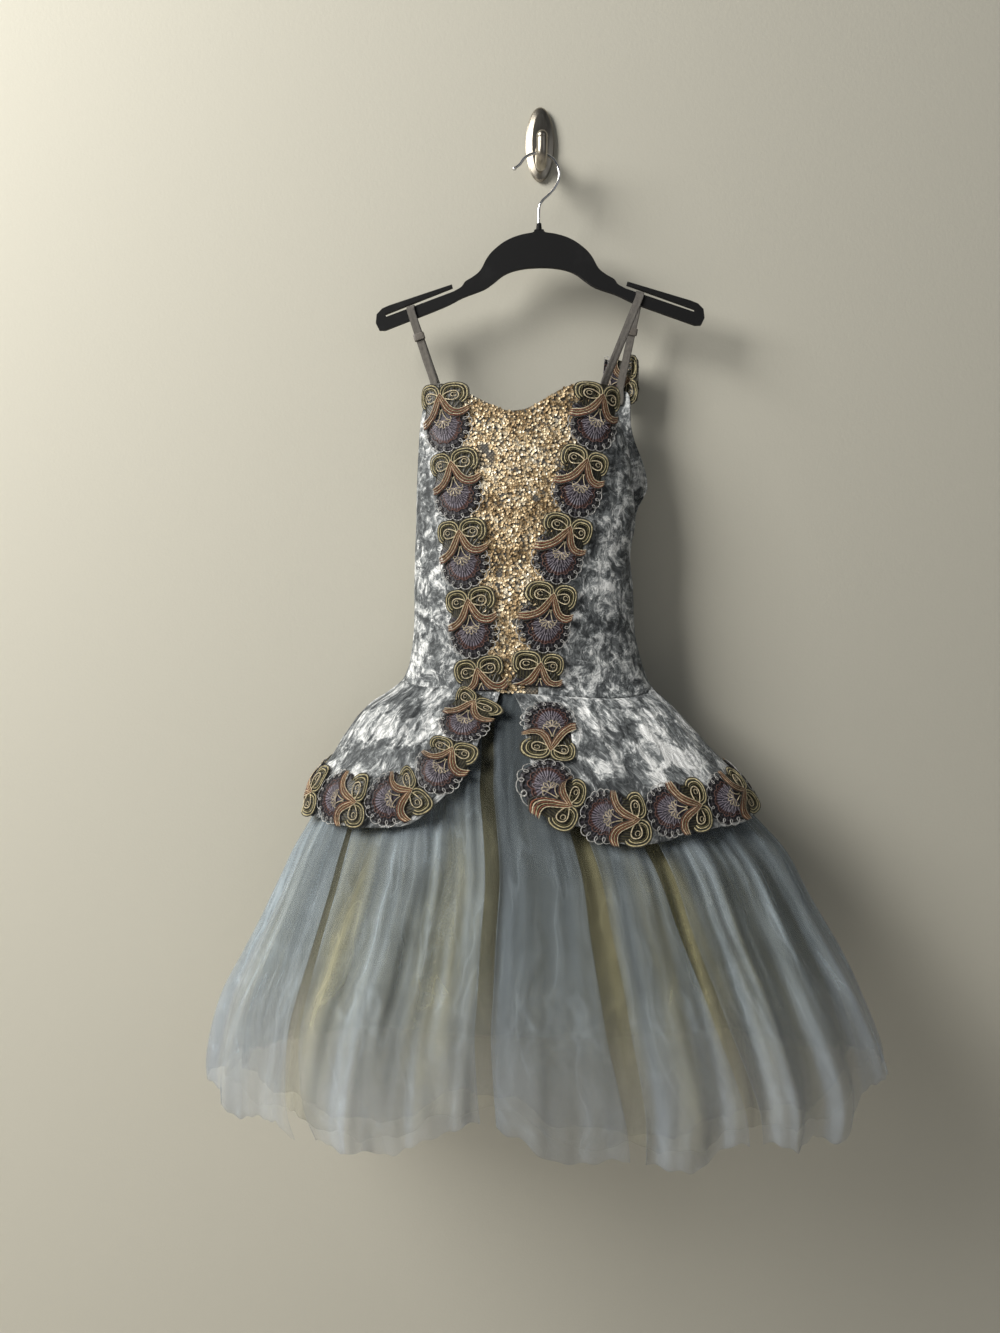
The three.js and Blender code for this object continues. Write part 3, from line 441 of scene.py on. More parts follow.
def satinGround():
    f = Finish("satinGround")
    u, v, _ = f.parts(f.cloth())
    x, y = (u - 0.5) * 50, v * 74
    dx, dy = x, y - 45
    reach = (dx * dx * 1.25 + dy * dy * 0.72) ** 0.5
    turn = dx.atan2(dy)
    rays = (turn * 36).sine().ramp(-0.3, 0.9)
    broad = (turn * 11).sine().ramp(-0.6, 1.0)
    worn = f.noise(f.place(), 300, 3.0)
    # The ground is dark satin, and its colours are made darker still so that the gaps between the cords read
    # as shade: partly its own colour, partly painted shade.
    lilac = f.blend(rays, (0.012, 0.010, 0.016), (0.24, 0.21, 0.26))
    lilac = f.blend(broad * 0.2, lilac, (0.26, 0.23, 0.26))
    mauve = f.blend(rays, (0.035, 0.013, 0.012), (0.12, 0.05, 0.038))
    edge = f.blend(rays, (0.007, 0.006, 0.008), (0.05, 0.045, 0.055))
    colour = f.blend(reach.ramp(13.5, 15.0), lilac, mauve)
    colour = f.blend(reach.ramp(15.8, 17.2), colour, edge)
    heart = (dx * dx + (y - 38) * (y - 38)) ** 0.5
    colour = f.blend(heart.ramp(6.0, 9.5, 0.85, 0.0), colour, (0.02, 0.014, 0.03))
    gold = f.blend((x * 2.6).sine().ramp(-0.4, 0.9), (0.01, 0.009, 0.005), (0.055, 0.048, 0.022))
    colour = f.blend((31 - y).ramp(0.0, 3.0), colour, gold)
    colour = f.blend(worn.ramp(0.45, 0.75, 0.0, 0.6), colour, (0.012, 0.011, 0.013))
    return f.finish(Base_Color=colour, Roughness=0.45, Normal=f.bump(rays, 0.0006, 0.7))


def tulle(name, dark, light, solid, sheer, streak=0.33):
    f = Finish(name, **{"Sheen Weight": 0.15, "Sheen Roughness": 0.45, "Specular IOR Level": 0.2})
    u, v, _ = f.parts(f.cloth())
    turned = f.attribute("turned")
    dense = f.attribute("dense")
    wander = (f.noise(f.vector(u * 0.8, v * 1.4), 3, 2.0) - 0.5) * (v * 0.3 + 0.06)
    bent = u + wander
    wide = f.noise(f.vector(bent, v * 0.2), 5, 2.0, 0.5)
    folds = f.noise(f.vector(bent, v * 0.14), 17, 2.0, 0.5)
    lines = f.noise(f.vector(bent, v * 0.08), 60, 3.0, 0.6)
    edges = abs(f.noise(f.vector(bent, v * 0.35), 8, 2.0, 0.5) - 0.5).ramp(0.0, 0.022, 1.0, 0.0)
    creases = abs(f.noise(f.place(), 11, 3.0, 0.55, 0.7) - 0.5).ramp(0.0, 0.03, 1.0, 0.0) * v.ramp(0.3, 1.0)
    crumple = f.noise(f.place(), 20, 4.0, 0.62)
    net = f.noise(f.place(), 760, 1.0)
    lit = edges * 0.22 + creases * 0.16
    sun = (wide * 0.55 + folds * 0.45 + lines * 0.3 + crumple * 0.45 + net * 0.25 - 0.63).ramp(0.0, 0.9) + lit
    colour = f.blend(sun, dark, light)
    colour = f.blend(v.ramp(0.6, 1.0, 0.0, 0.3), colour, (0.44, 0.47, 0.55))
    # Painted shade: darker where the folds lie deep, and under the peplum.
    colour = f.blend(f.attribute("deep") * 0.8, colour, tuple(part * 0.27 for part in dark))
    open01 = mixSocket(solid, sheer, v.ramp(0.15, 1.0))
    alpha = open01 * (1 - streak + (folds * 0.8 + lines * 0.4 + crumple * 0.8) * streak + lit * 0.8)
    alpha = alpha * dense * (0.85 + net * 0.3) + turned.ramp(0.15, 0.9, 0.0, 0.22) * dense
    alpha = alpha.least(0.95).most(0.02)
    return f.finish(Base_Color=colour, Roughness=0.75, Alpha=alpha)


def mixSocket(a, b, share):
    return share * (b - a) + a


def ribbedElastic():
    f = Finish("ribbedElastic", **{"Sheen Weight": 0.2})
    u, v, _ = f.parts(f.cloth())
    ribs = (u * 6.2832 * 9).sine()
    weave = (v * 6.2832 * 220).sine()
    worn = f.noise(f.place(), 240, 3.0)
    tone = (ribs * 0.18 + weave * 0.08 + worn * 0.5).ramp(0.0, 0.6)
    edge = abs(u - 0.5).ramp(0.36, 0.47)
    colour = f.blend(tone, (0.075, 0.066, 0.056), (0.22, 0.20, 0.17))
    colour = f.blend(edge * 0.7, colour, (0.055, 0.048, 0.04))
    return f.finish(Base_Color=colour, Roughness=0.5, Normal=f.bump(ribs + weave * 0.5, 0.0003, 0.7))


def mouldedSlider():
    f = Finish("mouldedSlider")
    worn = f.noise(f.place(), 700, 3.0)
    colour = f.blend(worn, (0.09, 0.08, 0.07), (0.2, 0.18, 0.155))
    return f.finish(Base_Color=colour, Roughness=0.3 + worn * 0.15, Normal=f.bump(worn, 0.0001))


def flockedBlack():
    f = Finish("flockedBlack", **{"Sheen Weight": 0.04, "Sheen Roughness": 0.5, "Specular IOR Level": 0.25})
    place = f.place()
    flock = f.noise(place, 2400, 2.0, 0.7)
    rubbed = f.noise(place, 38, 4.0, 0.6)
    colour = f.blend(flock, (0.0025, 0.0025, 0.003), (0.009, 0.009, 0.0095))
    colour = f.blend(rubbed.ramp(0.55, 0.8, 0.0, 0.5), colour, (0.018, 0.018, 0.019))
    return f.finish(Base_Color=colour, Roughness=0.72, Normal=f.bump(flock, 0.0002, 0.6))


def polishedWire():
    f = Finish("polishedWire", Metallic=1.0)
    place = f.place()
    dull = f.noise(place, 160, 4.0, 0.6)
    colour = f.blend(dull.ramp(0.4, 0.8), (0.78, 0.78, 0.79), (0.55, 0.54, 0.53))
    return f.finish(Base_Color=colour, Roughness=0.1 + dull * 0.16)


def brushedNickel():
    f = Finish("brushedNickel", Metallic=1.0)
    x, y, z = f.parts(f.place())
    brushed = f.noise(f.vector(x * 9, y * 9, z * 0.4), 420, 3.0, 0.6)
    cloud = f.noise(f.place(), 90, 3.0)
    paintedDarkReflection = f.noise(f.vector(x * 2.2, y, z * 0.3), 70, 2.0)
    colour = f.blend(brushed, (0.30, 0.27, 0.22), (0.52, 0.475, 0.40))
    # Painted reflection: darker lengthwise bands stand for the dark reflections along the hook's facets.
    colour = f.blend(paintedDarkReflection.ramp(0.42, 0.66, 0.0, 0.6), colour, (0.17, 0.15, 0.12))
    return f.finish(Base_Color=colour, Roughness=0.24 + cloud * 0.14, Normal=f.bump(brushed, 0.0001, 0.5))


# Mesh tools: grids of cloth, cords and smooth lines.

def setPoints(verts, points):
    for vert, point in zip(verts, points * mm):
        vert.co = point


# A grid of cloth: place(u, v) gives millimetres, u from one side to the other and v down from the top.
def clothGrid(mesh, columns, rows, place, closed=False, flat=(1, 1), marks=()):
    uv = mesh.loops.layers.uv.get("cloth") or mesh.loops.layers.uv.new("cloth")
    layers = [mesh.verts.layers.float.get(name) or mesh.verts.layers.float.new(name) for name in marks]
    fresh = bmesh.ops.create_grid(mesh, x_segments=columns, y_segments=rows, size=0.5)["verts"]
    spots = np.array([vert.co.to_tuple() for vert in fresh])
    u, v = spots[:, 0] + 0.5, 0.5 - spots[:, 1]
    for vert, a, b in zip(fresh, u, v):
        for loop in vert.link_loops:
            loop[uv].uv = (a * flat[0], b * flat[1])
    found = place(u, v)
    points, values = found if isinstance(found, tuple) else (found, ())
    for layer, column in zip(layers, values):
        for vert, value in zip(fresh, column):
            vert[layer] = value
    setPoints(fresh, points)
    if closed:
        bmesh.ops.remove_doubles(mesh, verts=fresh, dist=1e-6)
    return fresh


def addPiece(name, mesh, finish, nodes=(), wall=0.0, smooth=True):
    data = bpy.data.meshes.new(name)
    mesh.to_mesh(data)
    mesh.free()
    if smooth:
        data.shade_smooth()
    data.materials.append(finish)
    piece = bpy.data.objects.new(name, data)
    bpy.context.scene.collection.objects.link(piece)
    if wall:
        shell = piece.modifiers.new("wall", "SOLIDIFY")
        shell.thickness = wall * mm
        shell.offset = -1
    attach(piece, "root")
    if nodes:
        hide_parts(*nodes)
    return piece


# A tube along a line: route(t) gives its middle, side(t) a direction across it.
def tube(mesh, route, radius, steps, sides, up=(0, 0, 1), closed=False, flatten=1.0, thread=None):
    def place(u, v):
        t = u
        step = 0.25 / steps
        centre = route(t)
        run = unit(route(t + step) - route(t - step))
        across = unit(np.cross(run, np.broadcast_to(np.array(up, float), run.shape)))
        over = np.cross(across, run)
        size = radius if closed else radius * np.sqrt(np.clip(1 - (2 * np.abs(t - 0.5)) ** (2 * steps), 0, 1))
        size = np.broadcast_to(size, t.shape)[:, None]
        turn = (2 * math.pi * v)[:, None]
        return centre + size * (np.cos(turn) * across + flatten * np.sin(turn) * over)
    colours = mesh.verts.layers.float_color
    if thread and "thread" not in colours:
        colours.new("thread")
    fresh = clothGrid(mesh, steps, sides, place)
    if thread:
        for vert in fresh:
            vert[colours["thread"]] = (*thread, 1)
    bmesh.ops.remove_doubles(mesh, verts=fresh, dist=2e-6)


# A smooth line through points, from 0 to 1.
def lineThrough(points):
    points = np.array(points, float)
    rows = {"at": np.linspace(0, 1, len(points))}
    for i, name in enumerate("xyz"):
        rows[name] = points[:, i]

    def route(t):
        inside = np.clip(t, 0, 1)
        here = np.stack([along(rows, "at", name, inside) for name in "xyz"], -1)
        ends = np.where((t < 0)[..., None], points[0] - points[1], points[-1] - points[-2])
        return here + ends * (len(points) - 1) * np.abs(t - inside)[..., None]
    return route


# Bodice: four panels, with the painted highlights and painted shade of their pile.

def seamEdge(rows, direction):
    return lambda z: body.angleAt(along(rows, "z", "x", z) + direction * seamGap / 2, z)


velvetLights = [  # painted highlights and painted shade, where the pile lies towards the window or away from it: place, reach and amount
    {"x": -127, "z": -362, "wide": 12, "tall": 25, "glow": 0.08},
    {"x": -137, "z": -417, "wide": 12, "tall": 18, "glow": -0.12},
    {"x": -116, "z": -504, "wide": 14, "tall": 30, "glow": 0.06},
    {"x": -127, "z": -607, "wide": 20, "tall": 20, "glow": 0.1},
    {"x": 57, "z": -422, "wide": 14, "tall": 45, "glow": -0.2},
    {"x": 88, "z": -444, "wide": 12, "tall": 40, "glow": 0.25},
    {"x": 79, "z": -520, "wide": 14, "tall": 25, "glow": 0.2},
    {"x": 48, "z": -564, "wide": 18, "tall": 20, "glow": -0.15},
    {"x": 90, "z": -597, "wide": 16, "tall": 14, "glow": 0.12},
    {"x": 130, "z": -700, "wide": 38, "tall": 32, "glow": 0.4},
    {"x": 92, "z": -690, "wide": 10, "tall": 30, "glow": -0.2},
    {"x": 42, "z": -668, "wide": 16, "tall": 20, "glow": 0.22},
    {"x": 60, "z": -735, "wide": 20, "tall": 15, "glow": -0.3},
    {"x": -110, "z": -680, "wide": 14, "tall": 26, "glow": 0.16},
    {"x": -142, "z": -672, "wide": 12, "tall": 14, "glow": -0.16},
    {"x": -172, "z": -712, "wide": 20, "tall": 16, "glow": 0.22},
    {"x": -135, "z": -716, "wide": 14, "tall": 12, "glow": -0.18},
    {"x": -105, "z": -728, "wide": 14, "tall": 10, "glow": -0.2},
]


# Painted highlights and painted shade for the velvet, summed from the table above, on the front only.
def paintedLightAt(points):
    glow = 0
    for light in velvetLights:
        across = (points[:, 0] - light["x"]) / light["wide"]
        down = (points[:, 2] - light["z"]) / light["tall"]
        glow = glow + light["glow"] * np.exp(-(across ** 2) - down ** 2)
    return glow * (points[:, 1] < -50)


def bodicePlace(form, firstEdge, lastEdge, lift=0.0):
    def place(u, v):
        z = np.full(u.shape, -460.0)
        for _ in range(6):
            angle = mix(firstEdge(z), lastEdge(z), u)
            z = mix(neck(angle), waist(angle), 1 - (1 - v) ** 1.2)
        points = form.point(angle, z, lift)
        return points, [paintedLightAt(points)]
    return place


def bodicePanel(name, form, firstEdge, lastEdge, columns, rows, finish, slot, node):
    mesh = bmesh.new()
    clothGrid(mesh, columns, rows, bodicePlace(form, firstEdge, lastEdge), marks=["glow"])
    return addPiece(name, mesh, finish, [node], clothWall - 0.1)


velvet, drapedVelvet = crushedVelvet("bodiceVelvet", False), crushedVelvet("peplumVelvet", True)
seamTurn = 0.12
centreLeft, centreRight = seamEdge(leftSeamRows, 1), seamEdge(rightSeamRows, -1)
plainEdge = lambda angle: lambda z: 0 * z + angle
meshGround = sequinGround()
bodicePanels = [  # name, form, first edge, last edge, columns, rows, finish, slot, node
    ("sideFrontLeft", bodice, plainEdge(seamTurn), seamEdge(leftSeamRows, -1), 40, 70, velvet,
     "crushed_velvet", "side_front_left"),
    ("sideFrontRight", bodice, seamEdge(rightSeamRows, 1), plainEdge(180 - seamTurn), 60, 70, velvet,
     "crushed_velvet", "side_front_right"),
    ("backPanel", back, plainEdge(180 + seamTurn), plainEdge(360 - seamTurn), 110, 50, velvet,
     "crushed_velvet", "back_panel"),
    ("centreFront", bodice, centreLeft, centreRight, 60, 80, meshGround, "sequin_mesh",
     "centre_front_panel"),
]
bodicePieces = {panel[0]: bodicePanel(*panel) for panel in bodicePanels}
print("bodice panels made")


# Sequins, sewn one by one on the centre front.

sequinSizes = {
    "radius": 1.8, "spacing": 2.7, "cup": 0.45, "corners": 6, "tilt": 40,
    "trimCover": 15, "missing": 0.17, "top": -284.0, "jitter": 0.9, "rowStep": 0.9,
}
bareSpots = [  # across, height, reach
    {"x": -66, "z": -364, "reach": 6}, {"x": -58, "z": -374, "reach": 5}, {"x": -7, "z": -421, "reach": 4},
    {"x": -44, "z": -419, "reach": 4}, {"x": -48, "z": -505, "reach": 4}, {"x": -30, "z": -560, "reach": 4},
]


def sewSequins():
    rng = random.Random(7)
    size = sequinSizes
    disc = bmesh.new()
    shade = disc.verts.layers.float.new("shade")
    spots = []
    z = size["top"]
    while z > seamHeight:
        left = float(along(leftSeamRows, "z", "x", z)) + size["trimCover"]
        right = float(along(rightSeamRows, "z", "x", z)) - size["trimCover"]
        x = left + rng.uniform(0, size["spacing"])
        while x < right:
            jitter = size["jitter"]
            spots.append((x + rng.uniform(-jitter, jitter), z + rng.uniform(-jitter, jitter)))
            x += size["spacing"]
        z -= size["spacing"] * size["rowStep"]
    spots = np.array(spots)
    angle = bodice.angleAt(spots[:, 0], spots[:, 1])
    inside = (spots[:, 1] < neck(angle) - 0.5) & (spots[:, 1] > waist(angle) - 0.5)
    spots, angle = spots[inside], angle[inside]
    base = bodice.point(angle, spots[:, 1], 0.0)
    out = unit(bodice.point(angle, spots[:, 1], 1.0) - base)
    loose = np.sin(spots[:, 0] * 0.21 + 2 * np.sin(spots[:, 1] * 0.13)) * np.sin(spots[:, 1] * 0.27)
    made = 0
    for (x, z), foot, normal, gap in zip(spots, base, out, loose):
        missing = size["missing"] + 0.16 * max(0, gap - 0.55) / 0.45
        for spot in bareSpots:
            if math.hypot(x - spot["x"], (z - spot["z"]) * 0.8) < spot["reach"] * rng.uniform(0.8, 1.15):
                missing = 0.93
        if rng.random() < missing:
            continue
        tilt = math.radians(size["tilt"]) * rng.random() ** 0.7
        turn = rng.uniform(0, 2 * math.pi)
        radius = size["radius"] * rng.uniform(0.8, 1.12)
        normal = Vector(normal)
        side = normal.orthogonal().normalized()
        lean = Vector(side)
        lean.rotate(Matrix.Rotation(turn, 3, normal))
        facing = Vector(normal)
        facing.rotate(Matrix.Rotation(tilt, 3, lean))
        across = facing.orthogonal().normalized()
        over = facing.cross(across)
        centre = Vector(foot) + normal * (0.5 + radius * math.sin(tilt) * rng.uniform(0.5, 1.0))
        ring = bmesh.ops.create_circle(disc, cap_ends=True, cap_tris=True, segments=size["corners"], radius=1)
        # A random tone for each sequin: partly its own tone, partly painted glint and painted shade.
        tone = min(1, max(0, rng.gauss(0.55, 0.26)))
        for vert in ring["verts"]:
            a, b = vert.co.x, vert.co.y
            rim = 1 if a * a + b * b > 0.25 else 0
            point = centre + (across * a + over * b) * radius - facing * (0 if rim else size["cup"])
            vert.co = point * mm
            vert[shade] = tone
        made += 1
    print("sequins sewn:", made)
    addPiece("sequins", disc, sequinFinish(), smooth=False)


sewSequins()


# Applique: one motif laid flat, then set along each trim.

motifPitch = 74
motifBreadth = 1.14
trimHalfWidth = 25
threads = {
    "olive": (0.15, 0.13, 0.05), "paleGold": (0.74, 0.64, 0.36), "darkOlive": (0.02, 0.019, 0.01),
    "rust": (0.235, 0.062, 0.02), "lilac": (0.34, 0.30, 0.35), "cream": (0.80, 0.68, 0.45),
    "silver": (0.54, 0.53, 0.51), "mauve": (0.17, 0.06, 0.04), "steel": (0.03, 0.028, 0.035),
}
motifRows = {
    "at": [0, 0.04, 0.1, 0.2, 0.3, 0.38, 0.45, 0.55, 0.62, 0.75, 0.88, 0.96, 1],
    "width": [0.45, 0.8, 0.95, 0.96, 0.84, 0.84, 0.98, 0.84, 0.9, 0.9, 0.68, 0.42, 0.32],
}
# The dark olive cord at 10.2 lies in the gap between the two pale gold cords and stands for the shade there:
# painted shade.
heartCords = [  # reach from the lobe's middle, thread, radius
    (12.8, "darkOlive", 0.5), (11.6, "paleGold", 0.66), (10.2, "darkOlive", 0.45), (8.9, "paleGold", 0.56),
    (7.3, "olive", 0.4),
]
archCords = [  # place across the band, thread, radius
    (-3.2, "cream", 0.46), (-1.7, "rust", 0.56), (-0.2, "paleGold", 0.3), (1.2, "rust", 0.56),
    (2.7, "cream", 0.46), (4.2, "rust", 0.56), (5.7, "darkOlive", 0.5),
]
shellPetals = [
    {"angles": (-74, -36, 0, 36, 74), "reach": 8.0, "radius": 0.42, "steps": 14, "thread": "cream"},
    {"angles": (-100, -66, -44, -22, 0, 22, 44, 66, 100), "reach": 15.5, "radius": 0.36, "steps": 16,
     "thread": "lilac"},
]
lobe = {"x": 12.2, "y": 13, "square": 0.8, "start": 200, "end": -62}
archRows = {
    "at": [0, 0.2, 0.4, 0.6, 0.8, 1], "x": [0, 2.8, 6.6, 11.6, 18.5, 26],
    "left": [13.5, 19.5, 27.5, 34, 38.5, 40], "right": [13.5, 19.5, 27.5, 33, 34, 29.5],
}


def flat(x, y, height):
    return np.stack([x + 0 * y, y + 0 * x, height + 0 * x + 0 * y], -1)


def lobeRoute(hand, reach):  # a round of the heart at the top, from its middle over and out
    def route(t):
        turn = np.radians(mix(lobe["start"], lobe["end"], t))
        x = lobe["x"] + reach * power(np.cos(turn), lobe["square"])
        y = lobe["y"] - reach * 1.02 * power(np.sin(turn), lobe["square"])
        return flat(hand * x, y, 2.2 + 0.7 * np.sin(np.pi * np.clip(t, 0, 1)))
    return route


def eightRoute(wide, tall, height):  # the lying figure of eight inside the heart
    def route(t):
        turn = 2 * np.pi * t
        return flat(wide * np.sin(turn), 14.6 + tall * np.sin(2 * turn), height + 0.4 * np.cos(turn))
    return route


def eyeRoute(x, y, reach):
    def route(t):
        turn = 2 * np.pi * t
        return flat(x + reach * np.cos(turn), y + reach * np.sin(turn), 2.4)
    return route


def archRoute(step):  # ogee band with flared ends, step is the place in the band
    def route(t):
        s = 2 * t - 1
        a = np.clip(np.abs(s), 0, 1)
        beyond = np.abs(s) - a
        x = along(archRows, "at", "x", a) + 26 * beyond
        y = np.where(s < 0, along(archRows, "at", "left", a), along(archRows, "at", "right", a))
        lean = step * 0.45 * np.sin(np.pi * np.clip(a, 0, 0.7) / 0.7)
        thin = step * (1 - 0.3 * ramp(0.8, 1, a))
        return flat(np.sign(s) * (x - lean), y + thin, 3.3 + 0.3 * np.sin(a * 5))
    return route


def leafRoute(hand):  # the drop-shaped loops under the arch
    def route(t):
        turn = 2 * np.pi * t
        along01 = 0.5 - 0.5 * np.cos(turn)
        wide = 3.4 * np.sin(turn) * (0.35 + 0.65 * along01)
        x = hand * (0.6 + 7.2 * along01) + hand * wide * 0.72
        return flat(x, 28.5 + 12.5 * along01 - wide * 0.62, 2.9)
    return route


def petalRoute(angle, reach):  # small loops in the middle of the shell
    def route(t):
        turn = 2 * np.pi * t
        far = reach * (0.5 - 0.5 * np.cos(turn))
        wide = 1.5 * np.sin(turn) * (0.3 + far / reach)
        c, s = np.cos(angle), np.sin(angle)
        return flat(far * s + wide * c, 41 + far * c - wide * s, 3.0)
    return route


def shellEdge(turn, sideReach, footReach):
    reach = mix(sideReach, footReach, np.cos(turn / 2) ** 4)
    return reach


def ringRoute(sideReach, footReach, lobes, wave, height, spread=118):
    def route(t):
        turn = np.radians(spread) * (2 * t - 1)
        reach = shellEdge(turn, sideReach, footReach) + wave * np.abs(np.sin(lobes * np.pi * t))
        return flat(reach * np.sin(turn), 45 + reach * np.cos(turn), height)
    return route


def loopRoute(sideReach, footReach, lobes, size, height, spread=116):
    def route(t):
        turn = np.radians(spread) * (2 * t - 1)
        spin = 2 * np.pi * lobes * t
        reach = shellEdge(turn, sideReach, footReach) - size * np.cos(spin)
        aside = size * 0.95 * np.sin(spin)
        c, s = np.sin(turn), np.cos(turn)
        return flat(reach * c - aside * s, 45 + reach * s + aside * c, height)
    return route


def flatMotif():
    cords = bmesh.new()
    lay = lambda route, radius, steps, colour, sides=5: tube(
        cords, route, radius, steps, sides, thread=threads[colour])
    for hand in (-1, 1):
        for reach, colour, radius in heartCords:
            lay(lobeRoute(hand, reach), radius, 30, colour)
        lay(eyeRoute(hand * 12.6, 13.6, 2.3), 0.42, 12, "cream", 4)
        lay(eyeRoute(hand * 6.8, 16.2, 1.5), 0.35, 10, "olive", 4)
        lay(leafRoute(hand), 0.5, 20, "cream", 4)
    lay(eightRoute(17.2, 5.2, 2.7), 0.62, 56, "cream")
    for step, colour, radius in archCords:
        lay(archRoute(step), radius, 34, colour)
    for petals in shellPetals:
        for angle in petals["angles"]:
            route = petalRoute(math.radians(angle), petals["reach"])
            lay(route, petals["radius"], petals["steps"], petals["thread"], 4)
    lay(ringRoute(13.6, 18.2, 9, 2.2, 2.3), 0.36, 54, "mauve", 4)
    lay(ringRoute(17.8, 23.4, 11, 1.4, 2.2), 0.5, 60, "steel", 4)
    lay(loopRoute(20.6, 26.8, 11, 3.2, 2.5), 0.44, 140, "silver", 4)
    flatCords = bpy.data.meshes.new("flatCords")
    cords.to_mesh(flatCords)
    cords.free()

    ground = bmesh.new()

    def place(u, v):
        y = v * motifPitch
        half = along(motifRows, "at", "width", v) * trimHalfWidth
        x = (2 * u - 1) * half
        dome = 1.1 * np.exp(-((x / 13) ** 2 + ((y - 50) / 15) ** 2))
        return flat(x, y, 0.9 + dome - 0.5 * np.abs(2 * u - 1) ** 6)
    clothGrid(ground, 16, 36, place)
    uv = ground.loops.layers.uv.get("cloth")
    for vert in ground.verts:
        for loop in vert.link_loops:
            loop[uv].uv = (vert.co.x / mm / 50 + 0.5, vert.co.y / mm / motifPitch)
    flatGround = bpy.data.meshes.new("flatGround")
    ground.to_mesh(flatGround)
    ground.free()
    return flatCords, flatGround


# A path over a form, given by angle and height, measured off along the cloth.
class Path:
    def __init__(self, form, angles, heights, steps=160):
        self.form = form
        place = np.linspace(0, len(angles) - 1, steps + 1)
        order = {"i": list(range(len(angles))), "angle": angles, "z": heights}
        angle, z = along(order, "i", "angle", place), along(order, "i", "z", place)
        spots = form.section(angle, z)
        apartBy = np.linalg.norm(np.diff(spots, axis=0), axis=1)
        self.rows = {"at": np.concatenate([[0], np.cumsum(apartBy)]), "angle": angle, "z": z}
        self.length = self.rows["at"][-1]

    def spot(self, at):
        return along(self.rows, "at", "angle", at), along(self.rows, "at", "z", at)

    def beside(self, distance, sideways):
        angle, z = self.spot(distance)
        reach = np.clip(distance, 2, self.length - 2)
        direction = self.form.section(*self.spot(reach + 2)) - self.form.section(*self.spot(reach - 2))
        point = self.form.section(angle, z)
        byAngle = (self.form.section(angle + 0.5, z) - point) / 0.5
        byHeight = (self.form.section(angle, z - 0.5) - point) / -0.5
        side = unit(np.cross(np.cross(byAngle, byHeight), direction))
        dot = lambda a, b: (a * b).sum(-1)
        e, f, g = dot(byAngle, byAngle), dot(byAngle, byHeight), dot(byHeight, byHeight)
        p, q = dot(byAngle, side), dot(byHeight, side)
        bottom = e * g - f * f
        return angle + sideways * (p * g - q * f) / bottom, z + sideways * (q * e - p * f) / bottom


flatCords, flatGround = flatMotif()
cordFinish, groundFinish = embroideryCord(), satinGround()


def cutMotif(master, share):  # the part of a flat motif down to a share of its length
    mesh = bmesh.new()
    mesh.from_mesh(master)
    whole = [*mesh.verts, *mesh.edges, *mesh.faces]
    part = bmesh.ops.bisect_plane(mesh, geom=whole, plane_co=(0, share * motifPitch * mm, 0),
                                  plane_no=(0, 1, 0), clear_outer=True)
    edges = [g for g in part["geom_cut"] if isinstance(g, bmesh.types.BMEdge)]
    bmesh.ops.holes_fill(mesh, edges=edges, sides=8)
    data = bpy.data.meshes.new(master.name + "Cut")
    mesh.to_mesh(data)
    mesh.free()
    return data


def setMotifs(master, path, form, motifs, pitch, lift, start=0.0, isReversed=False, isTurned=False):
    mesh = bmesh.new()
    for k in range(math.ceil(motifs)):
        first = len(mesh.verts)
        mesh.from_mesh(cutMotif(master, motifs - k) if motifs - k < 1 else master)
        mesh.verts.ensure_lookup_table()
        fresh = mesh.verts[first:]
        spots = np.array([vert.co.to_tuple() for vert in fresh]) / mm
        distance = (k + spots[:, 1] / motifPitch) * pitch
        distance = start + (motifs * pitch - distance if isReversed else distance)
        sideways = spots[:, 0] * (-motifBreadth if isReversed else motifBreadth)
        angle, z = path.beside(distance, sideways)
        height = 4 - spots[:, 2] if isTurned else spots[:, 2]  # turned: its face looks in, to the front
        setPoints(fresh, form.point(angle, z, lift + height))
    return mesh


def trim(name, path, form, nodes, **layout):
    ground = setMotifs(flatGround, path, form, **layout)
    bmesh.ops.remove_doubles(ground, verts=ground.verts, dist=0.05 * mm)
    bmesh.ops.recalc_face_normals(ground, faces=ground.faces)
    cords = setMotifs(flatCords, path, form, **layout)
    bmesh.ops.recalc_face_normals(cords, faces=cords.faces)
    strip = addPiece(name, ground, groundFinish, nodes, 0.5)
    embroidery = addPiece(name + "Cords", cords, cordFinish)
    return strip, embroidery


seamTrimSizes = {"motifs": 4.5, "pitch": 79, "start": 9}  # the last motif is cut off at the waist
backMotifSizes = {"angles": [188, 205, 232], "z": -276, "pitch": 60}
trimLift = 0.6


def seamTrim(name, rows, node):
    z = np.array([z for z in rows["z"] if z > -640] + [rows["z"][-1]], float)
    x = along(rows, "z", "x", z)
    path = Path(body, list(body.angleAt(x, z)), list(z))
    return trim(name, path, body, [node], lift=trimLift, **seamTrimSizes)


seamTrims = {
    "left": seamTrim("seamTrimLeft", leftSeamRows, "seam_trim_left"),
    "right": seamTrim("seamTrimRight", rightSeamRows, "seam_trim_right"),
}
backPath = Path(back, backMotifSizes["angles"], [backMotifSizes["z"]] * 3)
backMotif = trim("backMotif", backPath, back, ["back_motif_right"], motifs=1,
                 pitch=backMotifSizes["pitch"], lift=trimLift, isTurned=True)
print("bodice trims set")


# Peplum: two halves, open at the front, each with its trim.

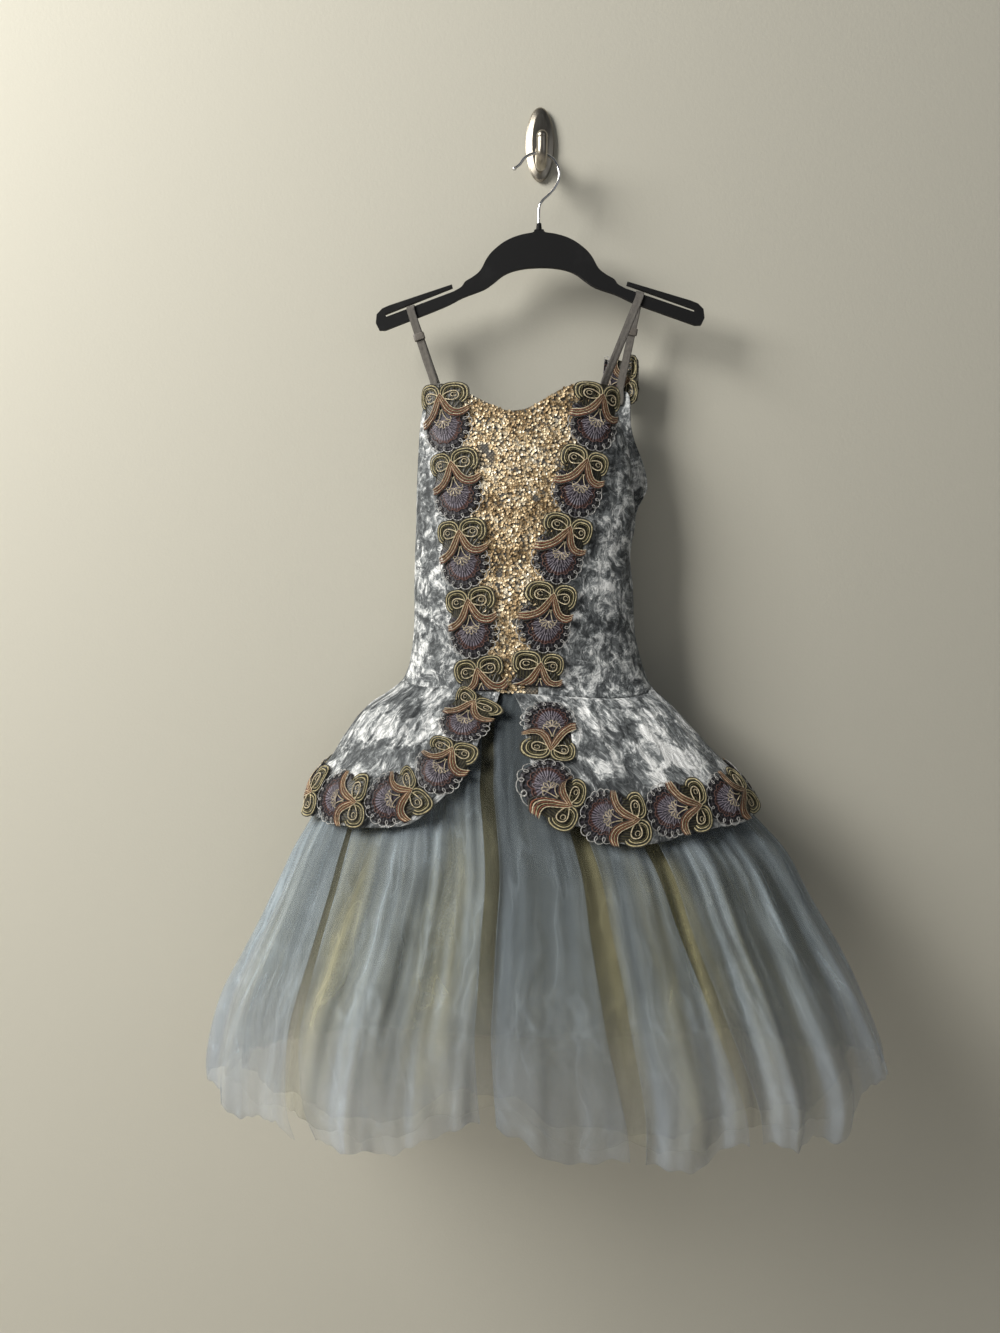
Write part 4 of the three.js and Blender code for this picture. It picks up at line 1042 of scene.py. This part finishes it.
peplumSides = {
    "left": {
        "opening": {"z": [-630, -668, -689, -714, -735, -754], "x": [-44, -59, -69, -79, -95, -119]},
        "hem": {"angle": [68, 63, 57, 41, 0, -40, -90], "z": [-754, -770, -777, -778, -773, -777, -780]},
        "trim": {"angle": [75, 73, 71, 67, 61, 53, 40, 0, -40, -89],
                 "z": [-643, -672, -700, -722, -740, -750, -752, -748, -751, -754]},
    },
    "right": {
        "opening": {"z": [-630, -662, -699, -730, -758], "x": [-37, -23, -17, -9, -2]},
        "hem": {"angle": [89, 86, 82, 77, 69, 62, 54, 36, 0, -40, -90],
                "z": [-758, -768, -774, -787, -791, -790, -782, -779, -771, -777, -780]},
        "trim": {"angle": [82, 82.5, 85, 86, 82.5, 76, 67, 55, 36, 0, -40, -89],
                 "z": [-650, -680, -710, -735, -752, -763, -766, -758, -754, -747, -751, -754]},
    },
}
peplumMotifs = 9


def peplumHalf(sideName):
    side = peplumSides[sideName]
    isLeft = sideName == "left"
    backEdge = -90 + seamTurn
    corner = side["opening"]["z"][-1]

    def place(u, v):
        across = 1 - u if isLeft else u
        spread = across ** 1.35
        edgeZ = mix(-638, corner, v)
        x = along(side["opening"], "z", "x", edgeZ)
        edge = body.angleAt(x, edgeZ) if isLeft else 180 - body.angleAt(x, edgeZ)
        angle = mix(edge, backEdge, spread)
        turned = angle if isLeft else 180 - angle
        top = waist(turned) - seamGap
        bottom = along(side["hem"], "angle", "z", mix(side["hem"]["angle"][0], backEdge, spread))
        points = draped.point(turned, mix(top, bottom, v ** 1.15))
        return points, [paintedLightAt(points)]
    mesh = bmesh.new()
    clothGrid(mesh, 230, 46, place, flat=(0.62, 0.15), marks=["glow"])
    return addPiece("peplum" + sideName.title(), mesh, drapedVelvet,
                    ["peplum_" + sideName], clothWall - 0.2)


def peplumTrim(sideName):
    side = peplumSides[sideName]
    isLeft = sideName == "left"
    angles = side["trim"]["angle"] if isLeft else [180 - a for a in side["trim"]["angle"]]
    path = Path(body, angles, side["trim"]["z"])
    return trim("peplumTrim" + sideName.title(), path, body, ["peplum_trim_" + sideName],
                motifs=peplumMotifs, pitch=path.length / peplumMotifs, lift=0.9, isReversed=not isLeft)


peplums = {name: (peplumHalf(name), *peplumTrim(name)) for name in ("left", "right")}
print("peplum made")


# Skirt: three layers of net, the top one in strips.

skirtLayers = {
    "overlay": {"insetTop": 0, "insetHem": 0, "creases": 1.0, "turn": 0, "phase": 0.4, "shorter": 0},
    "gold": {"insetTop": 2.1, "insetHem": 20, "creases": 0.7, "turn": 4, "phase": 1.9, "shorter": 6},
    "under": {"insetTop": 4.3, "insetHem": 37, "creases": 0.45, "turn": 9, "phase": 3.1, "shorter": 14},
}
skirtCreases = {  # the main folds, ridges above 0 and troughs below
    "angle": [-22, -10, 4, 16, 27, 37, 46, 54, 61, 68, 74, 79.5, 83.5, 88, 93, 98, 101.5, 106, 111, 116,
              120, 126, 133, 141, 150, 160, 171, 182, 195, 208, 222, 236, 250, 263, 277, 291, 305, 318, 329],
    "spread": [6, 5, 6, 5, 5, 4, 4, 3.5, 3.5, 3, 2.6, 2, 1.8, 2.6, 2.4, 2.2, 1.8, 2.6, 2.4, 2.4, 2.4,
               3.5, 3.5, 4, 4.5, 5, 5, 6, 6, 6, 6, 6, 6, 6, 6, 6, 6, 5, 5],
    "depth": [7, -6, 8, -6, 8, -7, 7, -6, 8, -6, 6, 4, -9, 7, -5, 6, -7, 7, -5, 5, -6, 8, -6, 7, -6, 8,
              -6, 7, -6, 6, -6, 5, -5, 6, -5, 6, -5, 6, -6],
}
overlayStrips = [
    {"name": "SideLeft", "node": "overlay_side_left", "top": (-24, 36), "hem": (-24, 49), "columns": 150},
    {"name": "FrontLeft", "node": "overlay_front_left", "top": (38, 79), "hem": (53, 81.5), "columns": 120},
    {"name": "Centre", "node": "overlay_centre", "top": (82.5, 95), "hem": (83.5, 99), "columns": 64},
    {"name": "FrontRight", "node": "overlay_front_right", "top": (99, 110), "hem": (101.5, 118),
     "columns": 64},
    {"name": "SideRight", "node": "overlay_side_right", "top": (114, 206), "hem": (121.5, 206),
     "columns": 210},
    {"name": "Back", "node": "overlay_back", "top": (207, 335), "hem": (207, 335), "columns": 230},
]


def skirtFold(layer):
    phase = layer["phase"]

    def shape(angle, z):
        t = np.clip((z - seamHeight) / (hemHeight - seamHeight), 0, 1)
        turn = np.radians(angle)
        even = evenTurn(turn)
        lean = layer["turn"] + 1.2 * np.sin(4 * t + turn * 5 + phase) * t
        broad = 0
        for place, spread, depth in zip(*skirtCreases.values()):
            broad = broad + depth * np.exp(-((apart(angle, place + lean) / spread) ** 2))
        broad = broad * layer["creases"] * (0.25 * t + 0.75 * ramp(seamHeight, hemHeight, z))
        fine = 0
        for k, (count, size) in enumerate(((31, 1.5), (47, 1.1), (71, 0.8), (97, 0.5))):
            sway = 1.5 * np.sin(4.1 * t + k * 1.9 + phase + 3 * turn) + 0.9 * np.sin(9 * t + 2 * k)
            fine = fine + size * np.sin(count * even + sway + k * phase)
        return broad + fine * (0.55 + 0.2 * t) * (1 + 0.4 * np.sin(6 * turn + phase))

    def fold(angle, z):
        t = np.clip((z - seamHeight) / (hemHeight - seamHeight), 0, 1)
        under = waist(angle)
        puff = peplumPuff * ramp(under + waistSeamDrop, under - 20, z)
        lining = (clothWall + layerGap + puff) * (1 - ramp(-770, -824, z))
        inset = mix(layer["insetTop"], layer["insetHem"], t) + lining
        fineRoom = 0.5 + 0.5 * ramp(seamHeight, -760, z)
        return shape(angle, z) * fineRoom - inset
    return fold, shape


def steepness(form, shape, angle, z):
    step = 0.3
    run = np.linalg.norm(form.section(angle + step, z) - form.section(angle - step, z), axis=-1)
    slope = np.abs(shape(angle + step, z) - shape(angle - step, z)) / np.maximum(run, 0.1)
    return slope / np.sqrt(1 + slope ** 2)


goldBands = {  # where the gold net lies doubled and shows through
    "angle": [49, 62, 72, 79, 88, 99, 108, 116, 124, 134, 147, 165, 200, 245, 290, 330, 352, 20],
    "spread": [5.5, 3.5, 5, 2.5, 3, 4.5, 3.5, 5, 3, 5, 5, 7, 10, 13, 11, 10, 7, 6],
    "strength": [1.0, 0.2, 0.9, 0.2, 0.1, 0.6, 0.45, 0.6, 0.4, 0.65, 0.4, 0.3, 0.5, 0.6, 0.5, 0.5, 0.3, 0.15],
}
paintedShadeBands = {  # painted shade, where the folds lie deep and dark
    "angle": [36, 62, 83.6, 91, 97, 102, 112, 119, 137, 150],
    "spread": [2.5, 2.5, 2.4, 4.5, 3.5, 3, 2.5, 1.6, 3.5, 4],
    "strength": [0.25, 0.25, 1.0, 0.45, 0.55, 0.4, 0.4, 0.55, 0.35, 0.3],
}


def bandStrength(bands, angle):
    strength = 0
    for place, spread, amount in zip(*bands.values()):
        strength = strength + amount * np.exp(-((apart(angle, place) / spread) ** 2))
    return np.clip(strength, 0, 1)


# Painted shade: darker in the deep folds, and at the top of the skirt in the peplum's shadow.
def paintedShadeOf(angle, v):
    return np.clip(bandStrength(paintedShadeBands, angle) * (1.1 - 0.5 * v) + 0.6 * (1 - ramp(0.15, 0.55, v)), 0, 1)


def hemFade(angle, v, near):  # the far hem is lost behind the near folds
    far = ramp(180, 205, wrap(angle)) * (1 - ramp(335, 360, wrap(angle)))
    return 1 - mix(near, 0.58, far) * ramp(0.66, 1, v)


def raggedHem(angle, phase):
    broad = 4.0 * np.sin(angle * 0.23 + phase * 2) * np.sin(angle * 0.11 + phase)
    return broad + 2.2 * np.sin(angle * 0.71 + phase * 3) + 1.2 * np.sin(angle * 1.9 + phase)


def overlayStrip(strip, finish):
    fold, shape = skirtFold(skirtLayers["overlay"])
    form = HollowForm(wholeSkirtRows, fold)
    top, hem = strip["top"], strip["hem"]

    def place(u, v):
        share = 0.35 * v + 0.65 * v * v
        sway = 0.5 * np.sin(5 * v + top[0])
        angle = mixAngles(mix(top[0], hem[0], share) + sway, mix(top[1], hem[1], share) + sway, u)
        bottomAngle = mixAngles(hem[0], hem[1], u)
        bottom = hemOf(bottomAngle) + raggedHem(bottomAngle, 0.4)
        z = mix(waist(angle) + waistSeamDrop, bottom, v)
        inwards = np.minimum(u, 1 - u)
        edge = 0.75 + 0.25 * ramp(0.0, 0.05, inwards) + 0.7 * (inwards < 0.004)
        dense = (1.0 - 0.6 * bandStrength(goldBands, angle) * ramp(0.2, 0.5, v)) * edge * hemFade(angle, v, 0)
        return form.point(angle, z), (steepness(form, shape, angle, z), dense, paintedShadeOf(angle, v))
    mesh = bmesh.new()
    width = 0.011 * (hem[1] - hem[0]) * 2
    clothGrid(mesh, strip["columns"], 60, place, flat=(width, 1), marks=("turned", "dense", "deep"))
    return addPiece("overlay" + strip["name"], mesh, finish, [strip["node"]], 0.4)


def skirtTube(name, node, layer, columns, finish, bands):
    fold, shape = skirtFold(layer)
    form = HollowForm(wholeSkirtRows, fold)

    def place(u, v):
        angle = mixAngles(0, 360, u)
        ragged = raggedHem(wrap(angle), layer["phase"]) * np.sin(np.pi * u) ** 0.2
        bottom = hemOf(angle) + layer["shorter"] + ragged
        z = mix(waist(angle) + waistSeamDrop, bottom, v)
        dense = 0.35 + 1.25 * bandStrength(goldBands, angle) * ramp(0.1, 0.4, v) if bands else 1 + 0 * angle
        dense = dense * hemFade(angle, v, 0.35)
        return form.point(angle, z), (steepness(form, shape, angle, z), dense, paintedShadeOf(angle, v))
    mesh = bmesh.new()
    clothGrid(mesh, columns, 54, place, closed=True, flat=(5.0, 1), marks=("turned", "dense", "deep"))
    return addPiece(name, mesh, finish, [node], 0.4)


greyTulle = tulle("greyTulle", (0.18, 0.22, 0.25), (0.55, 0.64, 0.70), 0.40, 0.19)
goldTulle = tulle("goldTulle", (0.25, 0.23, 0.12), (0.63, 0.59, 0.35), 0.43, 0.24)
underTulle = tulle("underTulle", (0.10, 0.115, 0.11), (0.33, 0.365, 0.36), 0.5, 0.2)
skirtPieces = {strip["name"]: overlayStrip(strip, greyTulle) for strip in overlayStrips}
skirtPieces["gold"] = skirtTube("goldLayer", "gold_layer", skirtLayers["gold"], 560, goldTulle,
                                True)
skirtPieces["under"] = skirtTube("underLayer", "under_layer", skirtLayers["under"], 400, underTulle,
                                 False)
print("skirt made")


# Straps and sliders.

strapWidth, strapWall, strapTuck = 9, 1.2, 1.9
hangerThickness, hangerPlane, hangerCentre = 6, -45, -2
hangerTilt = math.radians(0.9)
archHeight = -154
slotStart = (99, -179.6)
barSlope, footDrop = 19.2, 3
strapSizes = {
    "left": {"hand": 1, "barX": -149, "front": (31, -291), "back": (331, -293), "slider": (3, 4, 0.9)},
    "right": {"hand": -1, "barX": 115, "front": (147, -291), "back": (216, -293), "slider": (14, 15, 0.1)},
}


def hangerPoint(x, z, y=hangerPlane):
    c, s = math.cos(hangerTilt), math.sin(hangerTilt)
    up = z - archHeight
    return np.array([x * c - up * s + hangerCentre, y, x * s + up * c + archHeight])


def strapRoute(size):
    inside = -(clothWall + strapTuck + strapWall / 2)
    barX = size["barX"]
    barTop = slotStart[1] - (abs(barX) - slotStart[0]) * math.tan(math.radians(barSlope))
    over = strapWall / 2 + 0.6
    half = hangerThickness / 2 + over
    turn = math.radians(size["hand"] * barSlope) + hangerTilt
    barLean = np.array([math.cos(turn), 0, math.sin(turn)])

    def endLean(form, end):
        lean = unit(form.point(end[0] + 2, end[1]) - form.point(end[0] - 2, end[1]))
        return lean if lean[0] > 0 else -lean
    frontLean, backLean = endLean(body, size["front"]), endLean(back, size["back"])
    points, leans = [], []

    def add(point, lean):
        points.append(point)
        leans.append(unit(lean))

    def between(start, end, startLean, endLean, share):
        add(mix(start, end, share), mix(startLean, endLean, min(1, share * 1.3)))
    for rise in (-12, -3, 5):
        add(body.point(size["front"][0], size["front"][1] + rise, inside), frontLean)
    frontFoot = hangerPoint(barX, barTop - footDrop, hangerPlane - half)
    backFoot = hangerPoint(barX, barTop - footDrop, hangerPlane + half)
    frontTop = points[2]
    for share in (0.33, 0.67):
        between(frontTop, frontFoot, frontLean, barLean, share)
    add(frontFoot, barLean)
    for k in range(7):
        swing = math.pi * k / 6
        rise = min(math.sin(swing) * half * 0.7, over) - (1 if k % 6 == 0 else 0)
        add(hangerPoint(barX, barTop + rise, hangerPlane - math.cos(swing) * half), barLean)
    add(backFoot, barLean)
    backTop = back.point(size["back"][0], size["back"][1] + 5, inside)
    for share in (0.67, 0.33):
        between(backTop, backFoot, backLean, barLean, share)
    for rise in (5, -3, -12):
        add(back.point(size["back"][0], size["back"][1] + rise, inside), backLean)
    return np.array(points), np.array(leans)


def makeStrap(sideName):
    size = strapSizes[sideName]
    points, leans = strapRoute(size)
    apartBy = np.concatenate([[0], np.cumsum(np.linalg.norm(np.diff(points, axis=0), axis=1))])
    length = apartBy[-1]
    rows = {"at": apartBy / length}
    for i, name in enumerate("xyz"):
        rows[name], rows["lean" + name] = points[:, i], leans[:, i]
    middle = lambda t: np.stack([along(rows, "at", name, t) for name in "xyz"], -1)
    lean = lambda t: np.stack([along(rows, "at", "lean" + name, t) for name in "xyz"], -1)

    def place(u, v):
        run = unit(middle(v + 0.002) - middle(v - 0.002))
        side = lean(v)
        side = unit(side - run * (side * run).sum(-1, keepdims=True))
        out = np.cross(side, run)
        crown = 0.12 * np.cos(u * 2 * np.pi * 2)
        return middle(v) + side * ((u - 0.5) * strapWidth)[:, None] - out * (strapWall / 2 + crown)[:, None]
    mesh = bmesh.new()
    clothGrid(mesh, 8, 150, place)
    strap = addPiece("strap" + sideName.title(), mesh, elasticFinish, ["strap_" + sideName],
                     strapWall)
    first, second, share = size["slider"]
    at = mix(points[first], points[second], share)
    run = unit(points[second] - points[first])
    side = mix(leans[first], leans[second], share)
    side = unit(side - run * (side @ run))
    out = np.cross(run, side)
    ring = bmesh.new()

    def around(u, v):
        a, b = 2 * np.pi * u, 2 * np.pi * v
        thick, tall = power(np.cos(b), 0.5) * 0.75, power(np.sin(b), 0.35) * 4
        wide = power(np.cos(a), 0.3) * (strapWidth / 2 + 1.25 + thick)
        deep = power(np.sin(a), 0.6) * (strapWall / 2 + 1.25 + thick)
        return at + wide[:, None] * side + deep[:, None] * out + tall[:, None] * run
    clothGrid(ring, 48, 20, around)
    bmesh.ops.remove_doubles(ring, verts=ring.verts, dist=1e-6)
    bmesh.ops.recalc_face_normals(ring, faces=ring.faces)
    slider = addPiece("slider" + sideName.title(), ring, sliderFinish,
                      ["slider_" + sideName])
    return strap, slider, length


elasticFinish, sliderFinish = ribbedElastic(), mouldedSlider()
straps = {name: makeStrap(name) for name in strapSizes}
print("straps made, lengths in mm:", [round(float(s[2])) for s in straps.values()])


# Hanger, wire and wall hook.

hangerRows = {
    "underside": [(0, -154), (15, -154.7), (30, -157.4), (42, -162.3), (53.5, -170.8), (65, -177.9),
                  (89, -186.4), (112.5, -197.3), (179, -221.6)],
    "end": [(186, -221.5), (189.7, -214), (188.5, -204), (182, -197.5)],
    "prong": [(174, -194.2), (101, -171.8), (100.2, -175.2), (178.5, -203.8), (178, -207)],
    "shoulder": [(99, -179.6), (90, -174.5), (85.7, -168.8), (77, -163.7), (68, -156.5), (60.7, -143.8),
                 (53.4, -135.2), (41.6, -126.2), (30, -120.6), (18.2, -117.3), (7, -115.3), (5, -112.4),
                 (0, -112)],
}


hangerEdge = {"bevel": 1.9, "segments": 4, "sharpFrom": 50}
collarSizes = {"z": -109, "bottom": 3.6, "top": 2.7, "tall": 8}


def makeHanger():
    half = []
    for name, rows in hangerRows.items():
        if name in ("underside", "shoulder"):
            table = {"i": list(range(len(rows))), "x": [r[0] for r in rows], "z": [r[1] for r in rows]}
            place = np.linspace(0, len(rows) - 1, 4 * (len(rows) - 1) + 1)
            half += list(zip(along(table, "i", "x", place), along(table, "i", "z", place)))
        else:
            half += rows
    outline = [(-x, z) for x, z in half] + [(x, z) for x, z in half[-2:0:-1]]
    mesh = bmesh.new()
    verts = [mesh.verts.new(hangerPoint(x, z) * mm) for x, z in outline]
    face = mesh.faces.new(verts)
    thick = Vector((0, hangerThickness * mm, 0))
    bmesh.ops.translate(mesh, verts=verts, vec=-thick / 2)
    grown = bmesh.ops.extrude_face_region(mesh, geom=[face])
    far = [part for part in grown["geom"] if isinstance(part, bmesh.types.BMVert)]
    bmesh.ops.translate(mesh, verts=far, vec=thick)
    bmesh.ops.triangulate(mesh, faces=[f for f in mesh.faces if len(f.verts) > 4])
    size = collarSizes
    collar = bmesh.ops.create_cone(mesh, cap_ends=True, segments=28, radius1=size["bottom"] * mm,
                                   radius2=size["top"] * mm, depth=size["tall"] * mm)
    bmesh.ops.translate(mesh, verts=collar["verts"], vec=Vector(hangerPoint(0, size["z"])) * mm)
    bmesh.ops.recalc_face_normals(mesh, faces=mesh.faces)
    piece = addPiece("hangerBody", mesh, flockedBlack(), ["hanger_body"])
    bevel = piece.modifiers.new("easedEdge", "BEVEL")
    bevel.width, bevel.segments = hangerEdge["bevel"] * mm, hangerEdge["segments"]
    bevel.limit_method = "ANGLE"
    bevel.angle_limit = math.radians(hangerEdge["sharpFrom"])
    piece.data.set_sharp_from_angle(angle=math.radians(45))
    return piece


wireSizes = {
    "radius": 1.6, "ball": 2.4,
    "bow": [(-31, -44.5), (-25, -40), (-20, -33.5), (-13, -29), (-4, -27.6), (6, -29.5), (14.5, -35.5),
            (19.5, -45), (20, -55), (15.5, -65), (8.5, -73), (1, -80), (-2.6, -88), (-3.1, -111.5)],
}


def makeWire():
    line = [(x, hangerPlane, z) for x, z in wireSizes["bow"]]
    mesh = bmesh.new()
    tube(mesh, lineThrough(line), wireSizes["radius"], 150, 14, up=(0, 1, 0))
    ball = bmesh.ops.create_uvsphere(mesh, u_segments=20, v_segments=14, radius=wireSizes["ball"] * mm)
    bmesh.ops.translate(mesh, verts=ball["verts"], vec=Vector(line[0]) * mm)
    bmesh.ops.recalc_face_normals(mesh, faces=mesh.faces)
    return addPiece("hangerWire", mesh, polishedWire(), ["hanger_hook"])


wallHookSizes = {
    "backFace": (15.6, 40.6), "edge": (17, 42), "fingerRadius": 6.2, "tipRadius": 6.3, "tip": (0, -56, -13.6),
    "steps": [(17, 42, -1.6), (17, 42, -3.2), (15.2, 40.2, -4.6), (9.6, 34, -6.7), (8.8, 33, -6.8)],
    "finger": [(0, -3, -6), (0, -12, -17), (0, -24, -30), (0, -36, -36.8), (0, -45, -37.8),
               (0, -53.5, -31.5), (0, -56, -14)],
}


def makeWallHook():
    size = wallHookSizes
    mesh = bmesh.new()
    ring = bmesh.ops.create_circle(mesh, cap_ends=True, segments=72, radius=1)["verts"]
    for vert in ring:
        vert.co = Vector((vert.co.x * size["backFace"][0], 0, vert.co.y * size["backFace"][1])) * mm
    face = ring[0].link_faces[0]
    for wide, tall, y in size["steps"]:
        grown = bmesh.ops.extrude_face_region(mesh, geom=[face])
        face = next(g for g in grown["geom"] if isinstance(g, bmesh.types.BMFace))
        for i, vert in enumerate(face.verts):
            turn = math.atan2(vert.co.z / size["edge"][1], vert.co.x / size["edge"][0])
            vert.co = Vector((wide * math.cos(turn), y, tall * math.sin(turn))) * mm
    tube(mesh, lineThrough(size["finger"]), size["fingerRadius"], 60, 26, up=(1, 0, 0))
    tip = bmesh.ops.create_uvsphere(mesh, u_segments=28, v_segments=18, radius=size["tipRadius"] * mm)
    bmesh.ops.translate(mesh, verts=tip["verts"], vec=Vector(size["tip"]) * mm)
    bmesh.ops.recalc_face_normals(mesh, faces=mesh.faces)
    piece = addPiece("wallHook", mesh, brushedNickel(), ["wall_hook"])
    piece.data.set_sharp_from_angle(angle=math.radians(24))
    return piece


makeHanger()
makeWire()
makeWallHook()
print("hanger and hooks made")


# Room, light and camera.

def stagePlane(name, corners, finish):
    mesh = bmesh.new()
    mesh.faces.new([mesh.verts.new(corner) for corner in corners])
    data = bpy.data.meshes.new(name)
    mesh.to_mesh(data)
    mesh.free()
    data.materials.append(finish)
    plane = bpy.data.objects.new(name, data)
    bpy.context.scene.collection.objects.link(plane)


def wallPaint():
    f = Finish("wallPaint", **{"Base Color": (0.56, 0.54, 0.46), "Roughness": 0.85})
    grain = f.noise(f.place(), 260, 4.0, 0.6)
    f.finish(Normal=f.bump(grain, 0.0008, 0.25))
    behind = f.node("NewGeometry", out="Backfacing") * f.node("LightPath", out="Is Camera Ray")
    clear = f.node("BsdfTransparent")
    shown = f.node("MixShader", values={0: behind, 1: Socket(f, f.shader.outputs[0]), 2: clear})
    output = next(n for n in f.tree.nodes if n.type == "OUTPUT_MATERIAL")
    f.tree.links.new(shown.socket, output.inputs["Surface"])
    return f.material


room = {"wallY": 0.001, "floorZ": -1.58, "ceilingZ": 2.4, "reach": 4}
reach, wallY, floorZ, ceilingZ = room["reach"], room["wallY"], room["floorZ"], room["ceilingZ"]
stagePlane("wall", [(-reach, wallY, floorZ), (reach, wallY, floorZ), (reach, wallY, ceilingZ),
                    (-reach, wallY, ceilingZ)], wallPaint())
floorFinish = Finish("floorPaint", **{"Base Color": (0.6, 0.58, 0.55), "Roughness": 0.7}).material
stagePlane("floor", [(-reach, -reach, floorZ), (reach, -reach, floorZ), (reach, wallY, floorZ),
                     (-reach, wallY, floorZ)], floorFinish)


def areaLight(name, place, target, size, energy, colour):
    data = bpy.data.lights.new(name, "AREA")
    data.shape, data.size, data.size_y = "RECTANGLE", size[0], size[1]
    data.energy, data.color = energy, colour
    light = bpy.data.objects.new(name, data)
    light.location = place
    light.rotation_euler = (Vector(target) - Vector(place)).to_track_quat("-Z", "Y").to_euler()
    bpy.context.scene.collection.objects.link(light)


areaLight("window", (-2.1, -1.3, 0.85), (0.0, 0.0, -0.5), (1.2, 1.5), 112, (1.0, 0.98, 0.94))
areaLight("fill", (1.8, -2.6, 0.4), (0.0, 0.0, -0.6), (2.0, 2.0), 5, (0.95, 0.97, 1.0))
daylight = {"colour": (0.80, 0.86, 0.94), "strength": 0.085}
world = bpy.data.worlds.new("room")
world.use_nodes = True
sky = world.node_tree.nodes["Background"]
sky.inputs[0].default_value, sky.inputs[1].default_value = (*daylight["colour"], 1), daylight["strength"]
bpy.context.scene.world = world
bpy.context.scene.view_settings.view_transform = "Standard"
bpy.context.scene.cycles.transparent_max_bounces = 40  # the net lies many layers deep

view = {"lens": 25.93, "sensor": 36, "place": (-0.0474, -1.186, -0.515), "down": 5}
cameraData = bpy.data.cameras.new("camera")
cameraData.lens, cameraData.sensor_width, cameraData.sensor_fit = view["lens"], view["sensor"], "AUTO"
camera = bpy.data.objects.new("camera", cameraData)
camera.location = view["place"]
camera.rotation_euler = (math.radians(90 - view["down"]), 0, 0)
bpy.context.scene.collection.objects.link(camera)
bpy.context.scene.camera = camera
print("room, lights and camera made")


# Cut of each piece of cloth, in metres.

def cutSheet(flat, restsOn, fill=None):
    fill and fill * flat[0] * flat[1]


cutSheet((0.19, 0.36), ["strapLeft", "strapRight"], 0.6)
cutSheet((0.12, 0.37), ["centreFront"], 0.55)
cutSheet((0.17, 0.37), ["centreFront"], 0.55)
cutSheet((0.31, 0.36), ["strapLeft", "strapRight"], 0.75)
for name, width, trimLength in (("left", 0.62, 0.6), ("right", 0.68, 0.66)):
    half, ground, cords = peplums[name]
    cutSheet((width, 0.17), ["sideFront" + name.title(), "backPanel"], 0.8)
    cutSheet((0.055, trimLength), [half.name], 0.88)
for name, (ground, cords) in seamTrims.items():
    cutSheet((0.055, 0.356), ["centreFront", "sideFront" + name.title()], 0.9)
cutSheet((0.055, 0.062), ["backPanel"], 0.8)
overlayWidths = {"SideLeft": 0.26, "FrontLeft": 0.26, "Centre": 0.15, "FrontRight": 0.115, "SideRight": 0.4,
                 "Back": 0.84}
for name, width in overlayWidths.items():
    cutSheet((width, 0.47), ["peplumLeft", "peplumRight"], 0.8)
cutSheet((1.9, 0.47), ["backPanel", "centreFront"], 0.82)
cutSheet((1.8, 0.46), ["backPanel", "centreFront"], 0.82)
for strap, slider, length in straps.values():
    cutSheet((0.01, length * mm), ["hangerBody"], 0.9)
